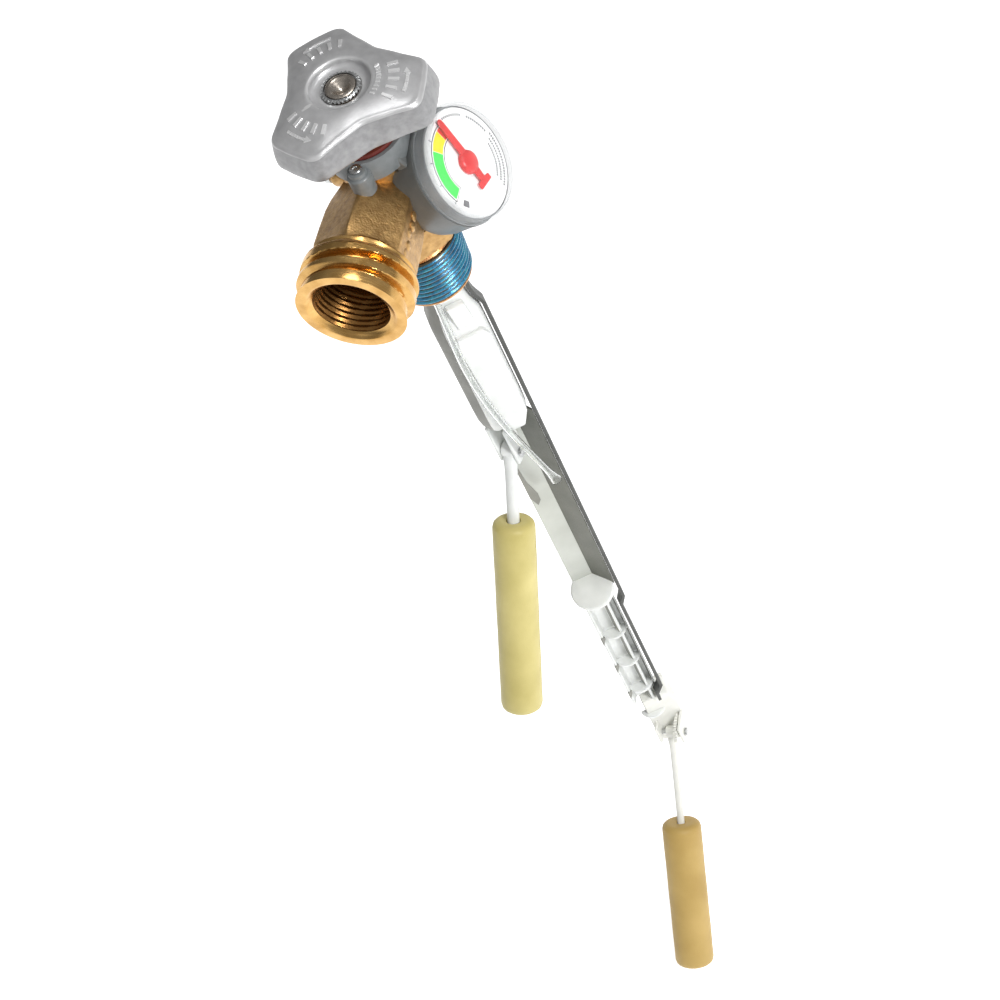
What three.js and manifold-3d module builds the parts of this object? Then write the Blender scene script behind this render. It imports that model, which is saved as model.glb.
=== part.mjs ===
// Overfill-prevention cylinder valve for LP gas, with a side float gauge.
// Millimetres. +Z runs up the spindle axis, the outlet points to -Y and the gauge faces +X.
// The origin is on the spindle axis, where the inlet thread meets the wrench hexagon.
import * as THREE from 'three';
import { mergeVertices } from 'three/addons/utils/BufferGeometryUtils.js';
import Module from 'manifold-3d';

const wasm = await Module();
wasm.setup();

// ---------------------------------------------------------------- driving dimensions

const ROUND = 30;            // facets round a large cylinder
const FINE = 14;             // facets round a small one
const GAP = 0.3;             // room left between pieces that touch

// inlet: 3/4-14 NGT
const INLET = { pitch: 1.814, crest: 13.2, depth: 0.8, taper: 1 / 32, top: -2.4, turns: 10, bore: 9.2, core: 10.9 };
INLET.bottom = INLET.top - INLET.turns * INLET.pitch;
const INLET_END = INLET.bottom - 1.4;
const HEX = { flats: 25.4, top: 9.5, cornerAngle: -45 };

// outlet: QCC type 1, 1 5/16-5 ACME outside, 0.885-14 NGO inside
const OUTLET = { height: 22.4, end: 45.9, crest: 16.65, root: 14.1, nose: 15.0, bore: 11.25 };
const BARREL = { radius: 12.5, shoulder: 34, neck: 10, top: 44 };
const CHAMBER = { radius: 6.2, floor: 11, thread: 8.3, threadBottom: 37 };
const SEAT = { hole: 3.6, lip: 5.2, top: 12 };
const RELIEF = { height: 14, bossRadius: 9.2, bossEnd: 23, bore: 6.2, floor: 9.8 };
const BLEEDER = { height: 27, bossEnd: 14.6, bossRadius: 4.4, bore: 2.3, floor: 9.5 };

const WHEEL = { top: 64, rim: 52.6, turn: 5, recess: 9.05, hub: 6.6 };
const SPINDLE = { radius: 4.0, head: 4.6, top: 62.6, tip: 19.8 };

// gauge: axis tilted up from the horizontal
const GAUGE = { x: 21.4, y: 2.5, z: 24.4, azimuth: -2, elevation: 28, radius: 17.7, back: 13.6, front: 7 };
const COLLAR = { inner: 10.3, outer: 12.4, bottom: 36, top: 43 };

// stem hardware below the inlet, turned about Z so its flat front looks between outlet and gauge
const STEM_TURN = 30;
const OPD = { spigot: 8.7, left: -7.8, right: 9.2, front: -7.0, back: 6.6, top: -24.5, bottom: -96 };
const OPD_BORE = { x: 0.8, y: 0, radius: 4.6, top: -4, bottom: -92 };
const OPD_SEAT = { radius: 3.2, bottom: -31.5 };
const SHAFT = { x: 5.0, y: 4.6, radius: 0.8, top: 3, bottom: -322.3 };
const RAIL = { outer: 10.8, thick: 1.3, back: 2, front: -5 };
const CHANNEL_END = -210.7;
const FLANGE = { x: 1.0, radius: 8.0, thick: 2.4, z: -213.1 };
const LADDER = { left: -4.6, right: 6.9, end: -301.9, rib: 25.4, ribs: 4 };
const GEAR_BOX = { left: -1.6, right: 12.0, front: -1.6, back: 7.6, top: -302.3, bottom: -338.2 };

// floats: each hinge axis is level, and each arm rests on its lower stop.
// pivot is in the turned stem frame, turn is about Z in it, and tilt is measured from straight down
const OPD_FLOAT = { pivot: [-2.8, -3.0, -112.4], turn: -41.4, tilt: 31, arm: 27, armRadius: 2.15,
  radius: 7.35, length: 75, hub: 3.0, hubHalf: 2.2 };
const GAUGE_FLOAT = { pivot: [4.4, -4.4, -328.7], turn: -27.2, tilt: 41, arm: 40.1, armRadius: 1.5,
  radius: 8.1, length: 64, hub: 2.6, hubHalf: 2.2 };
const PIN = 1.0;             // radius of both hinge pins
const SECTOR = { radius: 8.3, from: 81, to: 189, low: 2.5, high: 3.7 };

const deg = THREE.MathUtils.degToRad;

// ---------------------------------------------------------------- materials

function material(name, color, roughness, metalness, opacity = 1) {
  return new THREE.MeshStandardMaterial({ name, color, roughness, metalness, opacity, transparent: opacity < 1 });
}

const brass = material('brass', 0xb08a4c, 0.35, 0.9);
const zinc = material('painted_zinc', 0xb4b4b2, 0.45, 0.6);
const steel = material('steel', 0x8e9092, 0.35, 0.9);
const darkSteel = material('dark_steel', 0x5b5f60, 0.5, 0.7);
const greyPlastic = material('grey_plastic', 0x676b6a, 0.5, 0);
const whitePlastic = material('white_plastic', 0xe6e9e4, 0.5, 0);
const creamPlastic = material('cream_plastic', 0xe9e6cf, 0.5, 0);
const clearPlastic = material('clear_plastic', 0xf0f4f4, 0.08, 0, 0.3);
const dialWhite = material('dial_white', 0xf7f7f5, 0.5, 0);
const needleRed = material('needle_red', 0xf0352f, 0.4, 0);
const sealantBlue = material('sealant_blue', 0x2e7fb2, 0.4, 0);
const floatFoam = material('float_foam', 0xd3bd7c, 0.8, 0);
const rubber = material('rubber', 0x1d1d1d, 0.8, 0);
const redFibre = material('red_fibre', 0xa5301f, 0.7, 0);
const magnet = material('magnet', 0x3a3c40, 0.4, 0.6);

// ---------------------------------------------------------------- solid helpers

function toSolid(geometry) {
  const bare = new THREE.BufferGeometry();
  const source = geometry.index ? geometry.toNonIndexed() : geometry;
  bare.setAttribute('position', source.getAttribute('position').clone());
  const merged = mergeVertices(bare, 1e-4);
  const points = merged.getAttribute('position').array;
  const faces = [];
  const index = merged.index.array;
  for (let i = 0; i < index.length; i += 3) {
    const [a, b, c] = [index[i], index[i + 1], index[i + 2]];
    if (a !== b && b !== c && c !== a) faces.push(a, b, c);
  }
  let volume = 0;
  const [p, q, r] = [new THREE.Vector3(), new THREE.Vector3(), new THREE.Vector3()];
  for (let i = 0; i < faces.length; i += 3) {
    p.fromArray(points, faces[i] * 3);
    q.fromArray(points, faces[i + 1] * 3);
    r.fromArray(points, faces[i + 2] * 3);
    volume += p.dot(q.cross(r));
  }
  if (volume < 0) faces.reverse();
  const mesh = new wasm.Mesh({ numProp: 3, vertProperties: Float32Array.from(points),
    triVerts: Uint32Array.from(faces) });
  return new wasm.Manifold(mesh);
}

function toGeometry(solid) {
  const mesh = solid.getMesh();
  const geometry = new THREE.BufferGeometry();
  geometry.setAttribute('position', new THREE.BufferAttribute(Float32Array.from(mesh.vertProperties), 3));
  geometry.setIndex(Array.from(mesh.triVerts));
  geometry.computeVertexNormals();
  return geometry;
}

// a solid of revolution about Z from [radius, z] pairs that start and end on the axis
function turned(profile, facets = ROUND) {
  const points = profile.map(([r, z]) => new THREE.Vector2(r, z));
  return new THREE.LatheGeometry(points, facets).rotateX(Math.PI / 2);
}

function ring(inner, outer, low, high, facets = ROUND) {
  return turned([[inner, low], [outer, low], [outer, high], [inner, high], [inner, low]], facets);
}

function rod(radius, low, high, facets = ROUND) {
  return turned([[0, low], [radius, low], [radius, high], [0, high]], facets);
}

function block(x0, x1, y0, y1, z0, z1) {
  return new THREE.BoxGeometry(x1 - x0, y1 - y0, z1 - z0)
    .translate((x0 + x1) / 2, (y0 + y1) / 2, (z0 + z1) / 2);
}

function prism(points, low, high) {
  const shape = new THREE.Shape(points.map(([x, y]) => new THREE.Vector2(x, y)));
  return new THREE.ExtrudeGeometry(shape, { depth: high - low, bevelEnabled: false }).translate(0, 0, low);
}

function hexagon(flats, turn = 0) {
  const corner = flats / Math.sqrt(3);
  return Array.from({ length: 6 }, (_, k) => {
    const angle = deg(turn + 60 * k);
    return [corner * Math.cos(angle), corner * Math.sin(angle)];
  });
}

// closed skin through outlines of equal length, each star-shaped about its own centre
function loft(sections) {
  const count = sections[0].points.length;
  const positions = [];
  const push = (...corners) => corners.forEach((corner) => positions.push(...corner));
  const at = (s, k) => [...sections[s].points[k % count], sections[s].z];
  for (let s = 0; s + 1 < sections.length; s++) {
    for (let k = 0; k < count; k++) {
      push(at(s, k), at(s, k + 1), at(s + 1, k));
      push(at(s, k + 1), at(s + 1, k + 1), at(s + 1, k));
    }
  }
  const last = sections.length - 1;
  for (let k = 0; k < count; k++) {
    push([0, 0, sections[0].z], at(0, k + 1), at(0, k));
    push([0, 0, sections[last].z], at(last, k), at(last, k + 1));
  }
  const geometry = new THREE.BufferGeometry();
  geometry.setAttribute('position', new THREE.Float32BufferAttribute(positions, 3));
  return geometry;
}

// turn a shape built along +Z so that it runs along -Y, +Y or -X, with its own Y or X up
const alongOutlet = (g) => g.rotateX(Math.PI / 2).translate(0, 0, OUTLET.height);
const alongRelief = (g) => g.rotateX(-Math.PI / 2).translate(0, 0, RELIEF.height);
const alongBleeder = (g) => g.rotateY(-Math.PI / 2).translate(0, 0, BLEEDER.height);

function join(...geometries) {
  return geometries.map(toSolid).reduce((sum, next) => sum.add(next));
}

function cut(solid, ...geometries) {
  return geometries.map(toSolid).reduce((rest, next) => rest.subtract(next), solid);
}

const valve = new THREE.Group();
const stemHardware = new THREE.Group();
stemHardware.rotation.z = deg(STEM_TURN);
valve.add(stemHardware);

function piece(name, shape, finish, parent = valve) {
  const geometry = shape.isBufferGeometry ? toGeometry(toSolid(shape)) : toGeometry(shape);
  const mesh = new THREE.Mesh(geometry, finish);
  mesh.name = name;
  parent.add(mesh);
  return mesh;
}

// place of the drive shaft in the body's own frame
function drivePlace() {
  return new THREE.Vector3(SHAFT.x, SHAFT.y, 0).applyAxisAngle(new THREE.Vector3(0, 0, 1), deg(STEM_TURN)).toArray();
}

// ---------------------------------------------------------------- brass body

// six-sided neck section with a ridge on top; margin grows it for clearance cuts
function neckOutline(halfWidth, halfHeight, margin = 0) {
  const w = halfWidth + margin;
  const h = halfHeight + margin;
  return [[0.5, h], [-w * 0.55, h * 0.78], [-w, h * 0.42], [-w, -h * 0.42], [-w * 0.5, -h * 0.85], [w * 0.5, -h * 0.85],
    [w, -h * 0.42], [w, h * 0.42], [w * 0.6, h * 0.78]];
}

function outletNeck(margin = 0) {
  return alongOutlet(loft([
    { points: neckOutline(11.5, 11.0, margin), z: 0 },
    { points: neckOutline(13.4, 11.6, margin), z: 7 },
    { points: neckOutline(14.2, 12.6, margin), z: 16 },
    { points: neckOutline(14.6, 13.6, margin), z: 26 },
    { points: neckOutline(15.6, 15.0, margin), z: 33 },
  ]));
}

function outletThread() {
  const { crest, root, nose, end } = OUTLET;
  return alongOutlet(turned([[0, 30], [15.0, 30], [crest, 33.4], [crest, 35.4], [root, 36.3], [root, 38.1],
    [crest, 39.0], [crest, 40.8], [nose, 41.9], [nose, end - 0.8], [nose - 0.8, end], [0, end]]));
}

function valveBody() {
  const inletShank = turned([[0, 2], [INLET.core, 2], [INLET.core, INLET.bottom - GAP],
    [12.4, INLET.bottom - GAP], [11.4, INLET_END], [0, INLET_END]]);
  const wrenchHex = prism(hexagon(HEX.flats, HEX.cornerAngle), 0, HEX.top);
  const barrel = turned([[0, 4], [BARREL.radius, 4], [BARREL.radius, BARREL.shoulder - 9],
    [BARREL.neck, BARREL.shoulder - 3], [BARREL.neck, BARREL.top], [0, BARREL.top]]);
  const reliefBoss = alongRelief(rod(RELIEF.bossRadius, 4, RELIEF.bossEnd));
  const bleederBoss = alongBleeder(rod(BLEEDER.bossRadius, 6, BLEEDER.bossEnd, FINE));
  const outside = join(barrel, inletShank, wrenchHex, outletNeck(), outletThread(), reliefBoss, bleederBoss);
  return cut(outside,
    turned([[0, INLET_END - 1], [INLET.bore, INLET_END - 1], [INLET.bore, 5], [SEAT.hole, 7.5], [SEAT.hole, 16],
      [0, 16]]),
    turned([[0, SEAT.top], [SEAT.lip, SEAT.top], [SEAT.lip, CHAMBER.floor], [CHAMBER.radius, CHAMBER.floor],
      [CHAMBER.radius, CHAMBER.threadBottom], [CHAMBER.thread, CHAMBER.threadBottom],
      [CHAMBER.thread, BARREL.top + 1], [0, BARREL.top + 1]]),
    alongOutlet(turned([[0, 2], [5.4, 2], [5.4, 17], [8.6, 20], [8.6, 29], [OUTLET.bore, 29],
      [OUTLET.bore, OUTLET.end - 1.2], [OUTLET.bore + 1.3, OUTLET.end + 0.1], [OUTLET.bore + 1.3, OUTLET.end + 1],
      [0, OUTLET.end + 1]])),
    alongRelief(rod(RELIEF.bore, RELIEF.floor, RELIEF.bossEnd + 1)),
    alongRelief(rod(1.5, 7.5, RELIEF.floor + 1, FINE)),
    rod(0.9, 3, RELIEF.height, FINE).translate(0, 8.2, 0),
    alongBleeder(rod(BLEEDER.bore, BLEEDER.floor, BLEEDER.bossEnd + 1, FINE)),
    rod(0.8, 3, BLEEDER.height, FINE).translate(-9.6, 0, 0),
    rod(2.3, 3, 6.5, FINE).translate(...drivePlace()),
  );
}
piece('valve_body', valveBody(), brass);

// blue sealant sleeve that carries the visible thread form
function sealantSleeve() {
  const inside = INLET.core + 0.2;
  const profile = [[inside, INLET.top - 0.05]];
  for (let turn = 0; turn < INLET.turns; turn++) {
    const z = INLET.top - turn * INLET.pitch;
    const crest = INLET.crest - turn * INLET.pitch * INLET.taper;
    profile.push([crest - INLET.depth, z - 0.05], [crest, z - 0.7], [crest, z - 1.1]);
  }
  profile.push([inside, INLET.bottom], [inside, INLET.top - 0.05]);
  return turned(profile);
}
piece('thread_sealant', sealantSleeve(), sealantBlue);

// ---------------------------------------------------------------- bonnet, spindle and plug

function packingNut() {
  const nut = join(prism(hexagon(19.05, 10), 45.6, 50.2), rod(8.0, CHAMBER.threadBottom + 0.4, 45.8));
  return cut(nut, rod(SPINDLE.radius + GAP, 30, 51), rod(6.4, 30, 43.5));
}
piece('packing_nut', packingNut(), brass);
piece('bonnet_washer', ring(8.3, 10.6, BARREL.top + GAP, 45.3), redFibre);
piece('gland_packing', ring(SPINDLE.radius + GAP, 6.1, 40.2, 43.2), rubber);
piece('packing_follower', ring(SPINDLE.radius + GAP, 6.1, 37.8, 39.9), brass);

function spindle() {
  const { radius, head, top, tip } = SPINDLE;
  return cut(join(turned([[0, tip], [2.4, tip], [2.4, 29], [5.6, 29], [5.6, 31], [radius, 31], [radius, 52.4],
    [head, 53], [head, top], [0, top]])),
  turned([[0, top - 2.6], [2.6, top + 0.05], [2.6, top + 1], [0, top + 1]], FINE));
}
piece('spindle', spindle(), brass);

function seatPlug() {
  return cut(join(rod(5.8, 15.2, 25.5)), rod(2.7, 16.2, 26, FINE));
}
piece('seat_plug', seatPlug(), brass);
piece('seat_disc', rod(5.0, SEAT.top + GAP, 14.9), rubber);

// ---------------------------------------------------------------- handwheel

// skirt radius at steps of angle from the middle of a lobe; three lobes alike
const WHEEL_REACH = [[0, 24.8], [8, 24.9], [15, 25.4], [20, 25.2], [24, 23.7], [30, 21.4], [38, 19.5], [48, 17.9],
  [60, 17.2]];

function wheelReach(angle) {
  const off = Math.abs(((((angle - WHEEL.turn + 60) % 120) + 120) % 120) - 60);
  const upper = Math.max(1, WHEEL_REACH.findIndex(([a]) => off <= a));
  const [a0, r0] = WHEEL_REACH[upper - 1];
  const [a1, r1] = WHEEL_REACH[upper];
  const t = (off - a0) / (a1 - a0);
  return r0 + (r1 - r0) * t;
}

function wheelOutline(inset) {
  const points = [];
  for (let angle = 0; angle < 360; angle += 4) {
    const reach = wheelReach(angle) - inset;
    points.push([reach * Math.cos(deg(angle)), reach * Math.sin(deg(angle))]);
  }
  return points;
}

function handwheel() {
  const { top, rim, recess, hub } = WHEEL;
  const outside = loft([
    { points: wheelOutline(-0.2), z: rim },
    { points: wheelOutline(-0.2), z: rim + 0.8 },
    { points: wheelOutline(0.4), z: top - 5.0 },
    { points: wheelOutline(1.2), z: top - 2.8 },
    { points: wheelOutline(2.6), z: top - 1.2 },
    { points: wheelOutline(5.2), z: top - 0.4 },
    { points: wheelOutline(7.5), z: top },
  ]);
  const hollow = loft([
    { points: wheelOutline(1.6), z: rim - 1 },
    { points: wheelOutline(2.4), z: top - 5.5 },
    { points: wheelOutline(4.2), z: top - 3.9 },
  ]);
  const shell = cut(toSolid(outside), hollow);
  const boss = toSolid(rod(hub, rim + 0.6, top - 3));
  return cut(shell.add(boss),
    turned([[0, top - 2.4], [recess - 1.2, top - 2.4], [recess, top + 0.1], [recess, top + 1], [0, top + 1]]),
    rod(SPINDLE.head + GAP, rim, top + 1));
}
piece('handwheel', handwheel(), zinc);

// toothed ring between spindle and hub, which locks the wheel to the spindle
function splineRing() {
  const teeth = 24;
  const outline = [];
  for (let k = 0; k < teeth; k++) {
    for (const [step, radius] of [[0, 5.35], [0.5, 5.35], [0.5, 5.75], [1, 5.75]]) {
      const angle = (2 * Math.PI * (k + step)) / teeth;
      outline.push([radius * Math.cos(angle), radius * Math.sin(angle)]);
    }
  }
  return cut(toSolid(prism(outline, WHEEL.top - 2.3, WHEEL.top - 1.7)), rod(SPINDLE.head + GAP, 50, 70));
}
piece('spline_ring', splineRing(), zinc);

// ---------------------------------------------------------------- outlet check and relief valves

piece('check_retainer', alongOutlet(ring(5.2, 8.3, 27.2, 28.8)), brass);
piece('check_guide', cut(join(alongOutlet(ring(1.95, 5.1, 15.4, 16.8, FINE))),
  ...[0, 120, 240].map((turn) => alongOutlet(rod(0.9, 15, 17, 10).translate(3.5, 0, 0).rotateZ(deg(turn))))), brass);
piece('check_poppet', alongOutlet(turned([[0, 14], [1.6, 14], [1.6, 24.4], [4.6, 24.4], [4.6, 29.4], [3.4, 30.4],
  [0, 30.4]], FINE)), brass);

function coil(radius, wire, low, high, turns) {
  const steps = turns * 12;
  const points = Array.from({ length: steps + 1 }, (_, k) => {
    const angle = (2 * Math.PI * k * turns) / steps;
    return new THREE.Vector3(radius * Math.cos(angle), radius * Math.sin(angle), low + ((high - low) * k) / steps);
  });
  const path = new THREE.CatmullRomCurve3(points);
  const section = new THREE.Shape();
  section.absarc(0, 0, wire, 0, 2 * Math.PI);
  return new THREE.ExtrudeGeometry(section, { steps, extrudePath: path, curveSegments: 3 });
}
piece('check_spring', alongOutlet(coil(2.8, 0.35, 17.5, 23.7, 4)), steel);

function reliefPlug() {
  const { bore, bossEnd } = RELIEF;
  return cut(join(alongRelief(prism(hexagon(15.9, 0), bossEnd + GAP, bossEnd + 4.2)),
    alongRelief(rod(bore - GAP, bossEnd - 5, bossEnd + 1))),
  alongRelief(rod(1.8, 10, bossEnd + 6, FINE)),
  alongRelief(rod(4.2, 10, bossEnd - 2, FINE)));
}
piece('relief_plug', reliefPlug(), brass);
piece('relief_disc', alongRelief(turned([[0, RELIEF.floor + GAP], [4.6, RELIEF.floor + GAP], [4.6, 12.4],
  [1.6, 12.4], [1.6, 14.6], [0, 14.6]], FINE)), brass);
piece('relief_spring', alongRelief(coil(3.0, 0.4, 13.2, 20.2, 4)), steel);

function bleederScrew() {
  const { bore, bossEnd, floor } = BLEEDER;
  const body = join(alongBleeder(rod(bore - GAP, floor + 1.4, bossEnd + 0.5, FINE)),
    alongBleeder(rod(3.6, bossEnd + GAP, bossEnd + 2.8, FINE)));
  return cut(body, alongBleeder(block(-0.5, 0.5, -5, 5, bossEnd + 1.8, bossEnd + 4)));
}
piece('bleeder_screw', bleederScrew(), steel);

// ---------------------------------------------------------------- gauge

const gaugeAxis = new THREE.Vector3(
  Math.cos(deg(GAUGE.elevation)) * Math.cos(deg(GAUGE.azimuth)),
  Math.cos(deg(GAUGE.elevation)) * Math.sin(deg(GAUGE.azimuth)),
  Math.sin(deg(GAUGE.elevation)),
);
// gauge pieces are built along +Z with +Y up the dial, then laid on the gauge axis
const gaugeUp = new THREE.Vector3(0, 0, 1).addScaledVector(gaugeAxis, -gaugeAxis.z).normalize();
const gaugeRight = new THREE.Vector3().crossVectors(gaugeUp, gaugeAxis);
const gaugePlace = new THREE.Matrix4().makeBasis(gaugeRight, gaugeUp, gaugeAxis)
  .setPosition(GAUGE.x, GAUGE.y, GAUGE.z);
const onGauge = (g) => g.applyMatrix4(gaugePlace);

function gaugeCase() {
  const { radius, back } = GAUGE;
  const can = onGauge(turned([[0, -back], [radius - 4, -back], [radius - 0.4, -back + 5], [radius - 0.2, 0], [0, 0]]));
  const collar = rod(COLLAR.outer, COLLAR.bottom, COLLAR.top);
  const arm = block(0, 19, -7, 9, COLLAR.bottom, COLLAR.top - 0.5);
  const boss = turned([[0, COLLAR.bottom - 0.6], [3.4, COLLAR.bottom - 0.6], [3.4, COLLAR.top - 1.6], [2.7, COLLAR.top - 1.4],
    [2.7, COLLAR.top + 0.2], [0, COLLAR.top + 0.2]], FINE).translate(1.0, -13.2, 0);
  const whole = join(can, collar, arm, boss);
  return cut(whole,
    rod(COLLAR.inner, COLLAR.bottom - 12, COLLAR.top + 5),
    onGauge(rod(radius + 1, -0.1, 20)),
    rod(BARREL.radius + 0.5, -10, COLLAR.bottom),
    rod(15.2, -10, HEX.top + 0.6),
    outletNeck(0.6),
    onGauge(rod(radius - 1.6, -1.4, 1)),
    onGauge(rod(5.2, -6.5, 1, FINE)),
    rod(1.3, COLLAR.top - 5, COLLAR.top + 2, FINE).translate(1.0, -13.2, 0));
}
piece('gauge_case', gaugeCase(), greyPlastic);
piece('gauge_clamp_screw', join(rod(1.0, COLLAR.top - 4.6, COLLAR.top + 0.6, FINE).translate(1.0, -13.2, 0),
  rod(1.9, COLLAR.top + 0.5, COLLAR.top + 1.1, FINE).translate(1.0, -13.2, 0)), steel);
piece('dial_plate', onGauge(ring(1.4, 15.9, 0.4, 2.6)), dialWhite);

function gaugeLens() {
  const { radius, front } = GAUGE;
  return onGauge(turned([[0, front], [radius - 1.6, front], [radius - 0.2, front - 0.6], [radius, front - 1.4],
    [radius, 0.3], [radius - 1.5, 0.3], [radius - 1.5, front - 1.2], [0, front - 1.2]]));
}
piece('gauge_lens', gaugeLens(), clearPlastic);

// needle turned clockwise from the top of the dial
const NEEDLE_TURN = 17;
function needle() {
  const blade = prism([[-1.1, -6.8], [1.1, -6.8], [1.5, 0], [0.9, 13.4], [0.2, 14], [-0.2, 14], [-0.9, 13.4], [-1.5, 0]],
    3.6, 4.4);
  const tail = prism([[-3.0, -8.2], [3.0, -8.2], [3.0, -6.2], [-3.0, -6.2]], 3.6, 4.4);
  const hub = turned([[0, 3.1], [3.6, 3.1], [3.2, 4.6], [1.6, 5.4], [0, 5.5]], FINE);
  const shaft = rod(0.8, -2.5, 4, FINE);
  const turn = (g) => onGauge(g.rotateZ(-deg(NEEDLE_TURN)));
  return join(turn(blade), turn(tail), turn(hub), turn(shaft));
}
piece('needle', needle(), needleRed);
piece('gauge_magnet', onGauge(rod(4.6, -5.6, -2.8, FINE)), magnet);

// ---------------------------------------------------------------- stem hardware

// turn a shape from a hinge's own frame, with X along the pin, into the stem frame
function onHinge(g, hinge) {
  return g.rotateZ(deg(hinge.turn)).translate(...hinge.pivot);
}

// rod, disc or hole along a hinge's pin
function alongPin(g) {
  return g.rotateY(Math.PI / 2);
}

const dipTubeRoute = [[-3.8, -6.3, -16], [-4.1, -6.7, -22], [-4.6, -7.4, -28], [-5.3, -8.3, -38], [-5.2, -8.6, -55], [-3.6, -8.6, -72],
  [-1.2, -8.6, -88], [1.6, -8.6, -103], [4.4, -8.6, -118], [6.6, -8.6, -131]];
function tube(radius, steps) {
  const path = new THREE.CatmullRomCurve3(dipTubeRoute.map((p) => new THREE.Vector3(...p)));
  const section = new THREE.Shape();
  section.absarc(0, 0, radius, 0, 2 * Math.PI);
  return new THREE.ExtrudeGeometry(section, { steps, extrudePath: path, curveSegments: 5 });
}
piece('dip_tube', tube(1.2, 30), clearPlastic, stemHardware);

// pair of ears that carry a hinge pin, from z down past the pin
function hingeEars(hinge, gap, thick, half, rear, top) {
  const low = -hinge.hub - 1.2;
  return [-1, 1].map((side) => {
    const near = side * gap;
    const far = side * (gap + thick);
    return onHinge(block(Math.min(near, far), Math.max(near, far), -half, rear, low, top), hinge);
  });
}

function opdHousing() {
  const { spigot, left, right, front, back, top, bottom } = OPD;
  const section = [[left + 3, front], [right, front], [right, back - 2], [right - 2, back], [left + 3, back],
    [left, back - 4], [left, front + 3]];
  const ears = hingeEars(OPD_FLOAT, OPD_FLOAT.hubHalf + GAP, 1.3, 2.9, 2.9, bottom - OPD_FLOAT.pivot[2] + 1);
  const shell = join(prism(section, bottom, top), rod(spigot, top - 1, OPD_BORE.top - 3), ...ears);
  const { x, y } = OPD_BORE;
  return cut(shell,
    rod(OPD_BORE.radius, OPD_BORE.bottom, OPD_SEAT.bottom, FINE).translate(x, y, 0),
    rod(OPD_SEAT.radius, OPD_SEAT.bottom - 1, 0, FINE).translate(x, y, 0),
    rod(1.9, bottom - 1, 0, FINE).translate(x, y, 0),
    rod(SHAFT.radius + 0.4, bottom - 1, 0, FINE).translate(SHAFT.x, SHAFT.y, 0),
    block(right - 1.3 - GAP - 0.6, right + 3, RAIL.front - 0.4, RAIL.back + 0.4, -40, 0),
    block(left - 1, -3.4, -3.4, 2.4, bottom + 8, bottom + 22),
    onHinge(alongPin(rod(PIN + 0.05, -6, 6, FINE)), OPD_FLOAT),
    tube(1.55, 30));
}
piece('opd_housing', opdHousing(), whitePlastic, stemHardware);
piece('opd_cover', block(-4.6, 6.6, OPD.back + GAP, OPD.back + 1.5, OPD.bottom + 2, OPD.top - 5), whitePlastic,
  stemHardware);

function opdPiston() {
  const { x, y } = OPD_BORE;
  return turned([[0, -95], [1.6, -95], [1.6, -42], [4.3, -41], [4.3, -36.4], [2.4, -35.6], [0, -35.6]], FINE)
    .translate(x, y, 0);
}
piece('opd_piston', opdPiston(), creamPlastic, stemHardware);

// arm with a round hub on the pin; reach is how far it goes on inside the float
function floatArm(hinge, reach) {
  const stick = rod(hinge.armRadius, -hinge.arm - reach, 0, FINE).rotateX(-deg(hinge.tilt));
  const hub = alongPin(rod(hinge.hub, -hinge.hubHalf, hinge.hubHalf, FINE));
  return cut(join(stick, hub), alongPin(rod(PIN + 0.05, -6, 6, FINE)));
}

function floatBody(hinge, depth) {
  const { radius, length, arm, armRadius, tilt } = hinge;
  const body = turned([[0, -length], [radius - 1.6, -length], [radius, -length + 1.6], [radius, -1.8],
    [radius - 1.0, -0.5], [radius - 2.2, 0], [0, 0]]);
  const bored = cut(toSolid(body), rod(armRadius + GAP, -depth, 1, FINE));
  return toGeometry(bored).translate(0, 0, -arm).rotateX(-deg(tilt));
}

// hinge pin with a head at one end
function hingePin(half) {
  return alongPin(turned([[0, -half], [PIN, -half], [PIN, half], [1.6, half], [1.6, half + 0.8], [0, half + 0.8]], FINE));
}

piece('opd_float_arm', toSolid(onHinge(toGeometry(floatArm(OPD_FLOAT, 12)), OPD_FLOAT)), whitePlastic, stemHardware);
piece('opd_float', onHinge(floatBody(OPD_FLOAT, 12.5), OPD_FLOAT), floatFoam, stemHardware);
piece('opd_pivot_pin', onHinge(hingePin(4.1), OPD_FLOAT), steel, stemHardware);

function railStrip() {
  const { outer, thick, front, back } = RAIL;
  const outerLine = [[outer - 2.4, -22.4], [outer - 2.2, -30], [outer, -38], [outer, -220.7], [outer - 2.0, -225.7],
    [outer - 1.6, -290.7], [outer - 4.4, -295.7], [outer - 4.4, -301.3]];
  const innerLine = outerLine.map(([x, z]) => [x - thick, z]);
  const shape = new THREE.Shape([...outerLine, ...innerLine.reverse()].map(([x, z]) => new THREE.Vector2(x, z)));
  return new THREE.ExtrudeGeometry(shape, { depth: back - front, bevelEnabled: false })
    .rotateX(Math.PI / 2).translate(0, back, 0);
}
piece('rail_strip', railStrip(), darkSteel, stemHardware);

function guideChannel() {
  const wall = 1.4;
  const section = [[-4.6, 2.2], [3.2, 2.2], [7.8, -4.6], [9.2, -4.6], [9.2, -3.2], [6.8, 0.6], [6.8, 5.9], [3.2, 5.9],
    [3.2, 2.2 + wall], [-4.6, 2.2 + wall]];
  return cut(toSolid(prism(section, CHANNEL_END, OPD.bottom - GAP)),
    rod(SHAFT.radius + 0.4, CHANNEL_END - 1, OPD.bottom + 1, FINE).translate(SHAFT.x, SHAFT.y, 0));
}
piece('guide_channel', guideChannel(), whitePlastic, stemHardware);

function stemFlange() {
  const { x, radius, z, thick } = FLANGE;
  return cut(toSolid(rod(radius, z - thick / 2, z + thick / 2).translate(x, 0, 0)),
    rod(SHAFT.radius + 0.4, z - 5, z + 5, FINE).translate(SHAFT.x, SHAFT.y, 0));
}
piece('stem_flange', stemFlange(), whitePlastic, stemHardware);

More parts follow.
